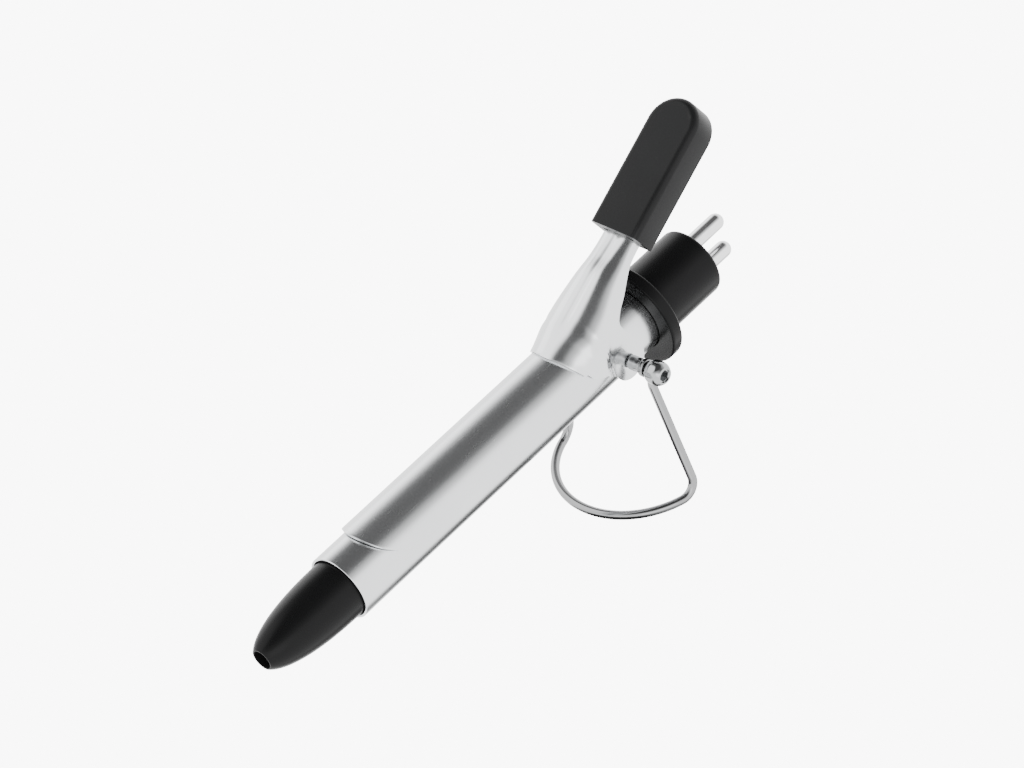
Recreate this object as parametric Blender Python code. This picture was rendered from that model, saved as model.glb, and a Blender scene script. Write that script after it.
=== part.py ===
"""Clamp-barrel head of a curling iron, standing on its wire stand.

Sizes are in millimetres and MM turns them into metres. Every piece is laid out in the barrel's frame:
x runs from the barrel's mouth towards the contact pins, y to the far side, z up, and the barrel's axis
is y = 0, z = 0. One empty carries that frame to its place over the floor, and two more empties sit on
the pivot line, one for the clamp and one for the stand.
"""

import math

import bmesh
import bpy
from mathutils import Vector

MM = 0.001
FIT = 0.3              # gap between pieces that touch or slide

# barrel and nose
BARREL_RADIUS = 10.0
BARREL_WALL = 0.8
BARREL_EDGE = 0.2
BARREL_LENGTH = 122.0
NOSE_LENGTH = 30.1     # in front of the mouth
NOSE_TAPER = 1.05 * NOSE_LENGTH    # where the nose's curve would close to a point
NOSE_ROUNDNESS = 2.3
NOSE_FULLNESS = 0.44
NOSE_SPIGOT = 12.0
NOSE_RIM = 0.5         # between the hole and the outside at the nose's end
NOSE_HOLE_DEPTH = 0.8 * NOSE_LENGTH

# base plug and pins
FLANGE_STEP = 5.6      # flange's edge outside the barrel
FLANGE_THICKNESS = 3.8
FLANGE_EDGE = 0.8
BARREL_SEAT = 2.4      # how far the barrel goes into the flange
PLUG_STEP = 0.5        # plug's side outside the barrel
PLUG_LENGTH = 22.7     # behind the flange
PLUG_EDGE = 1.3
PLUG_WALL = 1.7
PLUG_END_WALL = 5.0
PIN_RADIUS = 2.4
PIN_SPREAD = 0.975     # distance between the pins' middles as a share of the plug's radius
PIN_LENGTH = 13.8      # outside the plug
PIN_COLLAR = 1.5
PIN_STUD_RADIUS = 1.5
PIN_STUD = 7.0
PIN_NUT = 2.4
TAG_THICKNESS = 0.8
TAG_LENGTH = 7.0
TAG_HALF_WIDTH = 1.2

# heater
BUSH_LENGTH = 5.0
FORMER_RADIUS = 3.8
FORMER_BORE = 1.5
HEATER_SETBACK = 21.6  # former's rear end in front of the pivot line
WINDING_WIRE = 0.35    # radius of the resistance wire
WINDING_PITCH = 5.2
WINDING_MARGIN = 3.0   # bare former at each end
SLEEVE_WALL = 0.5
SPREADER_SLIT = 0.6
FUSE_RADIUS = 1.9
FUSE_LENGTH = 8.0
FUSE_GAP = 3.0         # behind the rear bush
LEAD_RADIUS = 0.9
LEAD_OFFSET = 5.0      # leads above and below the axis

# nose screw
NOSE_SCREW_RADIUS = 1.5
NOSE_SCREW_HEAD_GAP = 0.45    # round its head, inside the nose's hole
NOSE_SCREW_HEAD = 2.2
NOSE_NUT_RADIUS = 3.2
NOSE_NUT = 2.4

# clamp
PIVOT_SETBACK = 16.0   # pivot line in front of the barrel's rear end
CLAMP_GAP = 0.5
SPOON_SHEET = 0.8
SPOON_START = 9.6
SPOON_SETBACK = 10.0   # spoon's rear end in front of the pivot line
SPOON_LIP = 15.0       # length of the rounded front lip
SPOON_HALF_ANGLE = math.radians(76.0)
LEVER_SHEET = 0.6
SKIRT_REACH = 18.6     # lever's front edge in front of the pivot line
HOOD_RISE = 8.3        # hood over the spoon's height at the pivot line
EAR_RADIUS = 5.7
EAR_GAP = 0.5
EAR_HOLE_FIT = 0.5
NECK_HALF_WIDTH = 5.4
NECK_TOP = 6.1         # over the pad's underside
NECK_DEPTH = 3.2
TANG_LENGTH = 14.0

# thumb pad
PAD_SETBACK = 20.2     # lower front edge behind the pivot line
PAD_RISE = 12.5        # lower front edge over the barrel
PAD_TILT = math.radians(27.4)
PAD_WIDTH = 16.9
PAD_THICKNESS = 9.7
PAD_LENGTH = 41.3
PAD_FILLET = 2.6
PAD_CHAMFER = 0.6      # along the underside
PAD_FILLET_STEPS = 4

# clamp spring
SPRING_HALF_WIDTH = 2.5
SPRING_SHEET = 0.4

# pivot screws, as distances from the middle plane
SHANK_RADIUS = 1.4
NECK_LENGTH = 1.3      # bare shank outside the ear
COLLAR_STEP = 0.7      # collar outside the shank
COLLAR_LENGTH = 4.0
COLLAR_EDGE = 0.3
GROOVE_LENGTH = 2.2
HEAD_RADIUS = 3.5
HEAD_LENGTH = 6.2
HEAD_ROUND = 1.1
HEX_RADIUS = 1.75      # across corners
HEX_DEPTH = 2.5
FAR_HEAD = 2.6
FAR_HEAD_ROUND = 1.0
PIVOT_NUT_RADIUS = 3.4
PIVOT_NUT_LENGTH = 2.85
WASHER_RADIUS = 2.9
WASHER_THICKNESS = 0.6

# stand
STAND_WIRE_RADIUS = 1.3
STAND_DROP = 43.5      # pivot line to the middle of the foot's wire
FOOT_RADIUS = 24.7
FOOT_SET_BACK = 3.5    # foot circle's middle behind the legs
FOOT_BEND = 5.0        # length that each corner's curve takes from the leg and from the foot
EYE_WALL = 0.85
EYE_FIT = 0.35
EYE_THICKNESS = 1.5
EYE_NECK_RADIUS = 0.7
EYE_TAPER = 4.5        # length over which the wire is drawn down to its eye

ROUND = 36             # sides of the large turned pieces
SMALL_ROUND = 20

BARREL_BORE = BARREL_RADIUS - BARREL_WALL
NOSE_RADIUS = BARREL_BORE - FIT
BORE_FIT = BARREL_BORE - FIT
FLANGE_RADIUS = BARREL_RADIUS + FLANGE_STEP
FLANGE_FRONT = BARREL_LENGTH - BARREL_SEAT
FLANGE_REAR = FLANGE_FRONT + FLANGE_THICKNESS
PLUG_RADIUS = BARREL_RADIUS + PLUG_STEP
PLUG_END = FLANGE_REAR + PLUG_LENGTH
CAVITY_END = PLUG_END - PLUG_END_WALL
CAVITY_RADIUS = PLUG_RADIUS - PLUG_WALL
PIN_HEIGHT = PIN_SPREAD * PLUG_RADIUS / 2
PIN_COLLAR_RADIUS = CAVITY_RADIUS - PIN_HEIGHT - FIT
PIN_NUT_RADIUS = PIN_COLLAR_RADIUS - FIT
TONGUE_STEP = PIN_NUT_RADIUS + FIT
PIN_END = PLUG_END + PIN_LENGTH

PIVOT_X = BARREL_LENGTH - PIVOT_SETBACK
SPOON_END = PIVOT_X - SPOON_SETBACK
SPOON_INNER = BARREL_RADIUS + CLAMP_GAP
SPOON_OUTER = SPOON_INNER + SPOON_SHEET
SKIRT_START = PIVOT_X - SKIRT_REACH
SKIRT_HALF_WIDTH = SPOON_OUTER + FIT + LEVER_SHEET
EAR_OUTER = BARREL_RADIUS + EAR_GAP + LEVER_SHEET
EAR_HOLE_RADIUS = SHANK_RADIUS + EAR_HOLE_FIT
PAD_X = PIVOT_X + PAD_SETBACK
PAD_Z = BARREL_RADIUS + PAD_RISE

FRONT_BUSH_X = NOSE_SPIGOT + FIT
NOSE_NUT_X = FRONT_BUSH_X + BUSH_LENGTH + FIT
NOSE_THREAD_END = NOSE_NUT_X + NOSE_NUT + 1.0
FORMER_X = NOSE_THREAD_END + 1.4
FORMER_END = PIVOT_X - HEATER_SETBACK
REAR_BUSH_X = FORMER_END + FIT
REAR_BUSH_END = REAR_BUSH_X + BUSH_LENGTH

COLLAR_RADIUS = SHANK_RADIUS + COLLAR_STEP
COLLAR_START = EAR_OUTER + NECK_LENGTH
COLLAR_END = COLLAR_START + COLLAR_LENGTH
GROOVE_END = COLLAR_END + GROOVE_LENGTH
HEAD_END = GROOVE_END + HEAD_LENGTH
PIVOT_NUT_END = math.sqrt(BARREL_BORE ** 2 - PIVOT_NUT_RADIUS ** 2) - FIT
PIVOT_NUT_START = PIVOT_NUT_END - PIVOT_NUT_LENGTH
SHANK_START = PIVOT_NUT_START + 0.2
EYE_BORE = SHANK_RADIUS + EYE_FIT
EYE_RADIUS = EYE_BORE + EYE_WALL

AXIS_HEIGHT = STAND_DROP + STAND_WIRE_RADIUS
PAD_REAR = PAD_X + PAD_LENGTH * math.cos(PAD_TILT) - PAD_CHAMFER * math.sin(PAD_TILT)
REAR_EXTENT = max(PAD_REAR, PIN_END)
MOUTH_X = (NOSE_LENGTH - REAR_EXTENT) / 2
PIVOT = Vector((PIVOT_X, 0.0, 0.0))
ORIGIN = Vector((0.0, 0.0, 0.0))


# ---------------------------------------------------------------- objects and materials

def clear_scene():
    for item in list(bpy.data.objects):
        bpy.data.objects.remove(item, do_unlink=True)


def material(name, colour, roughness, metallic):
    made = bpy.data.materials.new(name)
    made.use_nodes = True
    shader = made.node_tree.nodes["Principled BSDF"]
    shader.inputs["Base Color"].default_value = (*colour, 1.0)
    shader.inputs["Roughness"].default_value = roughness
    shader.inputs["Metallic"].default_value = metallic
    return made


def steel(name):
    return material(name, (0.62, 0.63, 0.64), 0.32, 1.0)


def chrome(name):
    return material(name, (0.78, 0.79, 0.80), 0.12, 1.0)


def black_plastic(name):
    return material(name, (0.022, 0.022, 0.023), 0.38, 0.0)


def ceramic(name):
    return material(name, (0.80, 0.77, 0.70), 0.65, 0.0)


def brass(name):
    return material(name, (0.72, 0.55, 0.26), 0.35, 1.0)


def add_empty(name, location, parent=None):
    empty = bpy.data.objects.new(name, None)
    empty.location = Vector(location) * MM
    empty.parent = parent
    bpy.context.scene.collection.objects.link(empty)
    return empty


class Group:
    """An empty and the point of the barrel's frame that it stands on."""

    def __init__(self, name, point, parent=None):
        self.point = Vector(point)
        self.empty = add_empty(name, point, parent)


def add_solid(name, group, points, faces, finish=None):
    """A closed body from points in the barrel's frame, with its faces turned outwards."""
    mesh = bpy.data.meshes.new(name)
    mesh.from_pydata([tuple((Vector(p) - group.point) * MM) for p in points], [], faces)
    shell = bmesh.new()
    shell.from_mesh(mesh)
    bmesh.ops.recalc_face_normals(shell, faces=shell.faces)
    shell.to_mesh(mesh)
    shell.free()
    mesh.shade_smooth()
    mesh.set_sharp_from_angle(angle=math.radians(32))
    solid = bpy.data.objects.new(name, mesh)
    solid.parent = group.empty
    bpy.context.scene.collection.objects.link(solid)
    if finish is not None:
        mesh.materials.append(finish)
    return solid


def combine(target, tool, operation):
    """A Boolean with a body that is hidden from then on."""
    tool.hide_render = True
    tool.display_type = "WIRE"
    modifier = target.modifiers.new(tool.name, "BOOLEAN")
    modifier.operation = operation
    modifier.solver = "EXACT"
    modifier.object = tool


# ---------------------------------------------------------------- shapes

def turned(profile, place, sides, ring=False):
    """Points and faces of a profile of (distance, radius) turned about an axis.

    place(distance, across, up) puts a point in the barrel's frame. A ring's profile is a closed loop,
    and any other profile starts and ends on the axis.
    """
    points = []
    rows = []
    for distance, radius in profile:
        if radius == 0:
            rows.append([len(points)] * sides)
            points.append(place(distance, 0.0, 0.0))
            continue
        rows.append(list(range(len(points), len(points) + sides)))
        for side in range(sides):
            turn = 2 * math.pi * (side + 0.5) / sides
            points.append(place(distance, radius * math.cos(turn), radius * math.sin(turn)))
    faces = []
    pairs = list(zip(rows, rows[1:]))
    if ring:
        pairs.append((rows[-1], rows[0]))
    for first, second in pairs:
        for side in range(sides):
            after = (side + 1) % sides
            corners = [first[side], first[after], second[after], second[side]]
            faces.append(list(dict.fromkeys(corners)))
    return points, faces


def along_x(across=0.0, up=0.0):
    return lambda distance, y, z: (distance, across + y, up + z)


def along_y(side, x=PIVOT_X):
    """side is -1 for the near side and 1 for the far one, and distances count from the middle plane."""
    return lambda distance, across, up: (x + across, side * distance, up)


def cylinder_profile(start, end, radius):
    return [(start, 0.0), (start, radius), (end, radius), (end, 0.0)]


def tube_profile(start, end, outer, inner):
    return [(start, inner), (start, outer), (end, outer), (end, inner)]


def sheet(outer, inner):
    """A wall between two grids of points of the same size, closed along all four edges."""
    rows = len(outer)
    columns = len(outer[0])
    points = [p for row in outer for p in row] + [p for row in inner for p in row]
    second = rows * columns

    def at(row, column, layer):
        return layer * second + row * columns + column

    faces = []
    for layer in (0, 1):
        for row in range(rows - 1):
            for column in range(columns - 1):
                face = [at(row, column, layer), at(row, column + 1, layer),
                        at(row + 1, column + 1, layer), at(row + 1, column, layer)]
                faces.append(face)
    edges = [((row, column), (row, column + 1)) for row in (0, rows - 1) for column in range(columns - 1)]
    edges += [((row, column), (row + 1, column)) for column in (0, columns - 1) for row in range(rows - 1)]
    for first, second_end in edges:
        faces.append([at(*first, 0), at(*second_end, 0), at(*second_end, 1), at(*first, 1)])
    return points, faces


def lofted(rings):
    """A solid through rings of points of the same count, with flat ends."""
    count = len(rings[0])
    points = [p for ring in rings for p in ring]
    faces = [list(range(count)), list(range((len(rings) - 1) * count, len(rings) * count))]
    for level in range(len(rings) - 1):
        for index in range(count):
            after = (index + 1) % count
            low = level * count
            faces.append([low + index, low + after, low + count + after, low + count + index])
    return points, faces


def side_prism(outline, reach):
    """An outline of (x, z) points drawn out to both sides by reach."""
    return lofted([[(x, y, z) for x, z in outline] for y in (-reach, reach)])


def swept(path, radii, sides):
    """A round wire along a path, its rings kept from twisting.

    radii is one radius, or a list with one for each point.
    """
    path = [Vector(p) for p in path]
    if not isinstance(radii, list):
        radii = [radii] * len(path)
    heading = (path[1] - path[0]).normalized()
    across = heading.orthogonal().normalized()
    rings = []
    for index, point in enumerate(path):
        before = path[max(index - 1, 0)]
        after = path[min(index + 1, len(path) - 1)]
        turned_to = (after - before).normalized()
        across = heading.rotation_difference(turned_to) @ across
        heading = turned_to
        up = heading.cross(across)
        ring = []
        for side in range(sides):
            turn = 2 * math.pi * side / sides
            ring.append(point + radii[index] * (math.cos(turn) * across + math.sin(turn) * up))
        rings.append(ring)
    return lofted(rings)


def smooth_line(knots, steps):
    """A smooth line through knots of any size, with steps points from one knot to the next."""
    knots = [Vector(k) for k in knots]
    ends = [2 * knots[0] - knots[1]] + knots + [2 * knots[-1] - knots[-2]]
    line = []
    for a, b, c, d in zip(ends, ends[1:], ends[2:], ends[3:]):
        for step in range(steps):
            t = step / steps
            line.append(0.5 * (2 * b + (c - a) * t + (2 * a - 5 * b + 4 * c - d) * t ** 2
                               + (3 * b - a - 3 * c + d) * t ** 3))
    line.append(knots[-1])
    return line


def arc(middle, radius, start, end, steps):
    """Points on a circle in a plane, from one angle in degrees to another."""
    points = []
    for step in range(steps + 1):
        turn = math.radians(start + (end - start) * step / steps)
        points.append((middle[0] + radius * math.cos(turn), middle[1] + radius * math.sin(turn)))
    return points


def hexagon_piece(name, group, place, start, end, radius, bore, finish):
    """A nut: a hexagon with a round hole."""
    points, faces = turned(cylinder_profile(start, end, radius), place, 6)
    nut = add_solid(name, group, points, faces, finish)
    points, faces = turned(cylinder_profile(start - 1, end + 1, bore), place, SMALL_ROUND)
    combine(nut, add_solid(name + "_bore", group, points, faces), "DIFFERENCE")
    return nut


# ---------------------------------------------------------------- barrel, nose and base

def build_barrel(frame):
    edge = BARREL_EDGE
    profile = [
        (edge, BARREL_BORE), (0.0, BARREL_BORE + edge), (0.0, BARREL_RADIUS - edge), (edge, BARREL_RADIUS),
        (BARREL_LENGTH, BARREL_RADIUS), (BARREL_LENGTH, BARREL_BORE),
    ]
    tube = turned(profile, along_x(), ROUND, ring=True)
    barrel = add_solid("barrel_tube", frame, *tube, steel("barrel_steel"))
    reach = BARREL_RADIUS + 1
    hole = turned(cylinder_profile(-reach, reach, SHANK_RADIUS + FIT), along_y(1), SMALL_ROUND)
    combine(barrel, add_solid("barrel_pivot_bore", frame, *hole), "DIFFERENCE")


def nose_radius(distance):
    """Radius of the nose at a distance in front of the mouth."""
    return NOSE_RADIUS * (1 - (distance / NOSE_TAPER) ** NOSE_ROUNDNESS) ** NOSE_FULLNESS


def nose_hole_radius():
    return nose_radius(NOSE_LENGTH) - NOSE_RIM


def build_nose(frame):
    steps = 14
    end_edge = NOSE_RIM / 2
    bore = NOSE_SCREW_RADIUS + FIT
    outside = []
    for step in range(steps + 1):
        share = math.sin(0.5 * math.pi * step / steps)
        outside.append((-NOSE_LENGTH * share, nose_radius(NOSE_LENGTH * share)))
    seat = NOSE_HOLE_DEPTH - NOSE_LENGTH
    hole = nose_hole_radius()
    profile = [(NOSE_SPIGOT, bore), (NOSE_SPIGOT, NOSE_RADIUS)] + outside[:-1]
    profile += [(-NOSE_LENGTH + end_edge, nose_radius(NOSE_LENGTH) + end_edge)]
    profile += [(-NOSE_LENGTH, nose_radius(NOSE_LENGTH) - end_edge)]
    profile += [(-NOSE_LENGTH, hole), (seat, hole), (seat, bore)]
    nose = turned(profile, along_x(), ROUND, ring=True)
    add_solid("nose_cap", frame, *nose, black_plastic("nose_black"))



def build_nose_screw(frame):
    edge = 0.5
    head_radius = nose_hole_radius() - NOSE_SCREW_HEAD_GAP
    head_end = NOSE_HOLE_DEPTH - NOSE_LENGTH - FIT
    head_start = head_end - NOSE_SCREW_HEAD
    profile = [
        (head_start, 0.0), (head_start, head_radius - edge), (head_start + edge, head_radius),
        (head_end, head_radius), (head_end, NOSE_SCREW_RADIUS),
        (NOSE_THREAD_END, NOSE_SCREW_RADIUS), (NOSE_THREAD_END, 0.0),
    ]
    screw = turned(profile, along_x(), SMALL_ROUND)
    add_solid("nose_screw", frame, *screw, steel("nose_screw_steel"))
    hexagon_piece("nose_nut", frame, along_x(), NOSE_NUT_X, NOSE_NUT_X + NOSE_NUT, NOSE_NUT_RADIUS,
                  NOSE_SCREW_RADIUS + FIT, steel("nose_nut_steel"))


def build_base_plug(frame):
    fillet = [(PLUG_END - PLUG_EDGE + d, PLUG_RADIUS - PLUG_EDGE + r)
              for d, r in arc((0, 0), PLUG_EDGE, 90, 0, 4)]
    seat_end = BARREL_LENGTH + FIT
    seat_radius = BARREL_RADIUS + FIT
    profile = [(PLUG_END, 0.0)] + fillet[::-1] + [
        (FLANGE_REAR, PLUG_RADIUS), (FLANGE_REAR, FLANGE_RADIUS - FLANGE_EDGE),
        (FLANGE_REAR - FLANGE_EDGE, FLANGE_RADIUS), (FLANGE_FRONT + FLANGE_EDGE, FLANGE_RADIUS),
        (FLANGE_FRONT, FLANGE_RADIUS - FLANGE_EDGE), (FLANGE_FRONT, seat_radius), (seat_end, seat_radius),
        (seat_end, CAVITY_RADIUS), (CAVITY_END, CAVITY_RADIUS), (CAVITY_END, 0.0),
    ]
    plug = add_solid("base_plug", frame, *turned(profile, along_x(), ROUND), black_plastic("plug_black"))
    for name, up in (("upper", PIN_HEIGHT), ("lower", -PIN_HEIGHT)):
        bore = cylinder_profile(CAVITY_END - 1, PLUG_END + 1, PIN_RADIUS + FIT)
        tool = add_solid("pin_bore_" + name, frame, *turned(bore, along_x(up=up), SMALL_ROUND))
        combine(plug, tool, "DIFFERENCE")


def pin_stack():
    """Where the collar, tag and nut of a pin start, counted forwards from the plug's end wall."""
    collar = CAVITY_END - FIT - PIN_COLLAR
    tag = collar - FIT - TAG_THICKNESS
    nut = tag - FIT - PIN_NUT
    return collar, tag, nut


def build_pin(frame, name, up):
    collar, tag, nut = pin_stack()
    place = along_x(up=up)
    dome = [(PIN_END - PIN_RADIUS + d, r) for d, r in arc((0, 0), PIN_RADIUS, 90, 0, 6)]
    dome[-1] = (PIN_END, 0.0)
    profile = [
        (collar - PIN_STUD, 0.0), (collar - PIN_STUD, PIN_STUD_RADIUS), (collar, PIN_STUD_RADIUS),
        (collar, PIN_COLLAR_RADIUS), (collar + PIN_COLLAR, PIN_COLLAR_RADIUS),
        (collar + PIN_COLLAR, PIN_RADIUS),
    ] + dome
    pin = turned(profile, place, SMALL_ROUND)
    add_solid("contact_pin_" + name, frame, *pin, chrome("pin_plate_" + name))

    hole = PIN_STUD_RADIUS + FIT
    ring = turned(tube_profile(tag, tag + TAG_THICKNESS, PIN_NUT_RADIUS, hole), place, SMALL_ROUND, ring=True)
    solder_tag = add_solid("solder_tag_" + name, frame, *ring, brass("tag_brass_" + name))
    inward = -1 if up > 0 else 1
    root = up + inward * hole
    beside_nut = up + inward * TONGUE_STEP
    outside = up + inward * (TONGUE_STEP + TAG_THICKNESS)
    tongue_end = tag + TAG_THICKNESS
    bar = [(tag, root), (tongue_end, root), (tongue_end, outside), (tag - TAG_LENGTH, outside),
           (tag - TAG_LENGTH, beside_nut), (tag, beside_nut)]
    combine(solder_tag, add_solid("tag_tongue_" + name, frame, *side_prism(bar, TAG_HALF_WIDTH)), "UNION")
    hexagon_piece("pin_nut_" + name, frame, place, nut, nut + PIN_NUT, PIN_NUT_RADIUS, hole,
                  brass("nut_brass_" + name))


# ---------------------------------------------------------------- heater

def build_heater(frame):
    bore = NOSE_SCREW_RADIUS + FIT
    profile = tube_profile(FRONT_BUSH_X, FRONT_BUSH_X + BUSH_LENGTH, BORE_FIT, bore)
    bush = turned(profile, along_x(), ROUND, ring=True)
    add_solid("front_bush", frame, *bush, ceramic("front_bush_ceramic"))

    profile = tube_profile(FORMER_X, FORMER_END, FORMER_RADIUS, FORMER_BORE)
    former = turned(profile, along_x(), SMALL_ROUND, ring=True)
    add_solid("heater_former", frame, *former, ceramic("former_ceramic"))

    coil_radius = FORMER_RADIUS + WINDING_WIRE + FIT
    turn_steps = 12
    turns = (FORMER_END - FORMER_X - 2 * WINDING_MARGIN) / WINDING_PITCH
    path = []
    for step in range(int(turns * turn_steps) + 1):
        turn = 2 * math.pi * step / turn_steps
        x = FORMER_X + WINDING_MARGIN + WINDING_PITCH * step / turn_steps
        path.append((x, coil_radius * math.cos(turn), coil_radius * math.sin(turn)))
    winding = swept(path, WINDING_WIRE, 5)
    add_solid("heater_winding", frame, *winding, material("resistance_wire", (0.36, 0.34, 0.32), 0.45, 1.0))

    sleeve_inner = coil_radius + WINDING_WIRE + FIT
    sleeve_outer = sleeve_inner + SLEEVE_WALL
    profile = tube_profile(FORMER_X, FORMER_END, sleeve_outer, sleeve_inner)
    mica = turned(profile, along_x(), SMALL_ROUND, ring=True)
    add_solid("mica_sleeve", frame, *mica, material("mica", (0.55, 0.45, 0.28), 0.4, 0.0))

    spreader_inner = sleeve_outer + FIT
    for name, middle in (("upper", 90.0), ("lower", -90.0)):
        slit = math.degrees(SPREADER_SLIT / BORE_FIT)
        walls = []
        for radius in (BORE_FIT, spreader_inner):
            edge = arc((0, 0), radius, middle - 90 + slit, middle + 90 - slit, 16)
            walls.append([[(x, y, z) for y, z in edge] for x in (FORMER_X, FORMER_END)])
        aluminium = material("spreader_" + name, (0.75, 0.76, 0.77), 0.4, 1.0)
        add_solid("heat_spreader_" + name, frame, *sheet(walls[0], walls[1]), aluminium)

    rear = turned(cylinder_profile(REAR_BUSH_X, REAR_BUSH_END, BORE_FIT), along_x(), ROUND)
    rear_bush = add_solid("rear_bush", frame, *rear, ceramic("rear_bush_ceramic"))
    for name, up in (("upper", LEAD_OFFSET), ("lower", -LEAD_OFFSET)):
        hole = cylinder_profile(REAR_BUSH_X - 1, REAR_BUSH_END + 1, LEAD_RADIUS + FIT)
        tool = add_solid("lead_hole_" + name, frame, *turned(hole, along_x(up=up), 12))
        combine(rear_bush, tool, "DIFFERENCE")


def build_lead(frame, name, knots, colour):
    lead = swept(smooth_line(knots, 5), LEAD_RADIUS, 10)
    add_solid(name, frame, *lead, material(name + "_cover", colour, 0.5, 0.0))


def build_leads(frame):
    """The fuse and the three leads, from the heater's rear bush to the solder tags."""
    fuse_x = REAR_BUSH_END + FUSE_GAP
    fuse_end = fuse_x + FUSE_LENGTH
    fuse = turned(cylinder_profile(fuse_x, fuse_end, FUSE_RADIUS), along_x(up=LEAD_OFFSET), SMALL_ROUND)
    add_solid("thermal_fuse", frame, *fuse, material("fuse_tin", (0.58, 0.57, 0.55), 0.35, 1.0))

    red = (0.60, 0.10, 0.08)
    white = (0.75, 0.75, 0.72)
    start = REAR_BUSH_X + FIT
    lead_end = pin_stack()[1] - TAG_LENGTH - FIT
    tag_up = PIN_HEIGHT - TONGUE_STEP - TAG_THICKNESS / 2
    middle = (fuse_end + lead_end) / 2
    middle_up = (LEAD_OFFSET + tag_up) / 2
    build_lead(frame, "fuse_lead", [(start, 0, LEAD_OFFSET), (fuse_x - FIT, 0, LEAD_OFFSET)], red)
    build_lead(frame, "live_lead", [(fuse_end + FIT, 0, LEAD_OFFSET), (middle, 0, middle_up),
                                    (lead_end, 0, tag_up)], red)
    build_lead(frame, "neutral_lead", [(start, 0, -LEAD_OFFSET), (REAR_BUSH_END + 2.0, 0, -LEAD_OFFSET),
                                       (middle, 0, -middle_up), (lead_end, 0, -tag_up)], white)


# ---------------------------------------------------------------- clamp

def spoon_front(angle):
    """x of the spoon's front lip at an angle from the top: a rounded tongue."""
    share = min(abs(angle) / SPOON_HALF_ANGLE, 1.0)
    return SPOON_START + SPOON_LIP * (1 - math.sqrt(max(1 - share ** 2, 0.0)))


def build_spoon(clamp):
    columns = 20
    rows = 8
    walls = ([], [])
    for row in range(rows + 1):
        lines = ([], [])
        for column in range(columns + 1):
            angle = SPOON_HALF_ANGLE * math.sin(math.pi * (column / columns - 0.5))
            front = spoon_front(angle)
            x = front + (SPOON_END - front) * row / rows
            for line, radius in zip(lines, (SPOON_OUTER, SPOON_INNER)):
                line.append((x, -radius * math.sin(angle), radius * math.cos(angle)))
        for wall, line in zip(walls, lines):
            wall.append(line)
    add_solid("clamp_spoon", clamp, *sheet(walls[0], walls[1]), steel("spoon_steel"))


def pad_point(along, up):
    """x and z of a point given along and above the pad's underside, from its lower front edge."""
    x = PAD_X + along * math.cos(PAD_TILT) - up * math.sin(PAD_TILT)
    z = PAD_Z + along * math.sin(PAD_TILT) + up * math.cos(PAD_TILT)
    return x, z


def lever_stations():
    """(x, half width at the shoulders, height of the shoulders, height of the top) along the lever."""
    neck_x, neck_top = pad_point(0.0, NECK_TOP)
    tang_x, tang_top = pad_point(TANG_LENGTH, NECK_TOP)
    shoulder = NECK_DEPTH * 0.8
    wide = SKIRT_HALF_WIDTH
    narrowing = EAR_OUTER - NECK_HALF_WIDTH
    over_pivot = wide + HOOD_RISE
    return [
        (SKIRT_START - 1.0, wide, 0.0, wide),
        (SKIRT_START + 4.6, wide, 1.2, wide + 2.2),
        (SPOON_END + 1.0, wide - 0.5, 5.5, wide + 4.9),
        (PIVOT_X - 2.0, EAR_OUTER - 0.6, 10.5, over_pivot),
        (PIVOT_X + 5.0, NECK_HALF_WIDTH + 0.55 * narrowing, 15.5, over_pivot + 3.1),
        (PIVOT_X + 11.0, NECK_HALF_WIDTH + 0.2 * narrowing, neck_top - shoulder - 5.0, neck_top - 2.7),
        (neck_x, NECK_HALF_WIDTH, neck_top - shoulder, neck_top),
        (tang_x, NECK_HALF_WIDTH, tang_top - shoulder, tang_top),
    ]


def lower_half_width(x):
    """Half width of the lever's walls at the barrel: the skirt's in front, the ears' at the pivot."""
    narrowing_length = 4.0
    share = min(max((x - SPOON_END + 1.0) / narrowing_length, 0.0), 1.0)
    share = share * share * (3 - 2 * share)
    return SKIRT_HALF_WIDTH + (EAR_OUTER - SKIRT_HALF_WIDTH) * share


def lever_section(x, half_width, shoulder, top, inset):
    """(y, z) points over the lever at x, from the near wall's lower end to the far one's."""
    steps = 10
    low = -(EAR_RADIUS + 2)
    wall = lower_half_width(x) - inset
    wall_top = min(EAR_RADIUS + 1.5, shoulder * 0.6)
    upper = min(half_width, lower_half_width(x)) - inset
    dome = []
    for step in range(steps + 1):
        turn = math.pi * (1 - step / steps)
        dome.append((upper * math.cos(turn), shoulder + (top - inset - shoulder) * math.sin(turn)))
    return [(-wall, low), (-wall, wall_top)] + dome + [(wall, wall_top), (wall, low)]


def lever_outline():
    """The lever seen from the side: skirt's front edge, ear, rear edge and tang, as (x, z) points."""
    top = SKIRT_HALF_WIDTH
    front_knots = [(0.0, top + 1), (1.0, top - 1.3), (3.4, top - 3.8), (5.8, 4.0), (9.4, 2.4)]
    rear_knots = [(2.9, 6.9), (1.4, 11.5), (3.2, 14.6), (8.2, 18.0), (12.6, 21.8)]
    front = smooth_line([(SKIRT_START + x, z) for x, z in front_knots], 4)
    ear = arc((PIVOT_X, 0.0), EAR_RADIUS, 195, 390, 22)
    neck_low = pad_point(0.0, NECK_TOP - NECK_DEPTH)
    rear = smooth_line([(PIVOT_X + x, z) for x, z in rear_knots] + [neck_low], 4)
    tang_low = pad_point(TANG_LENGTH, NECK_TOP - NECK_DEPTH)
    tang_high = pad_point(TANG_LENGTH, 2 * PAD_THICKNESS)
    lower = [tuple(p) for p in front] + ear + [tuple(p) for p in rear]
    return lower + [tang_low, tang_high, (SKIRT_START, tang_high[1])]


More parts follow.
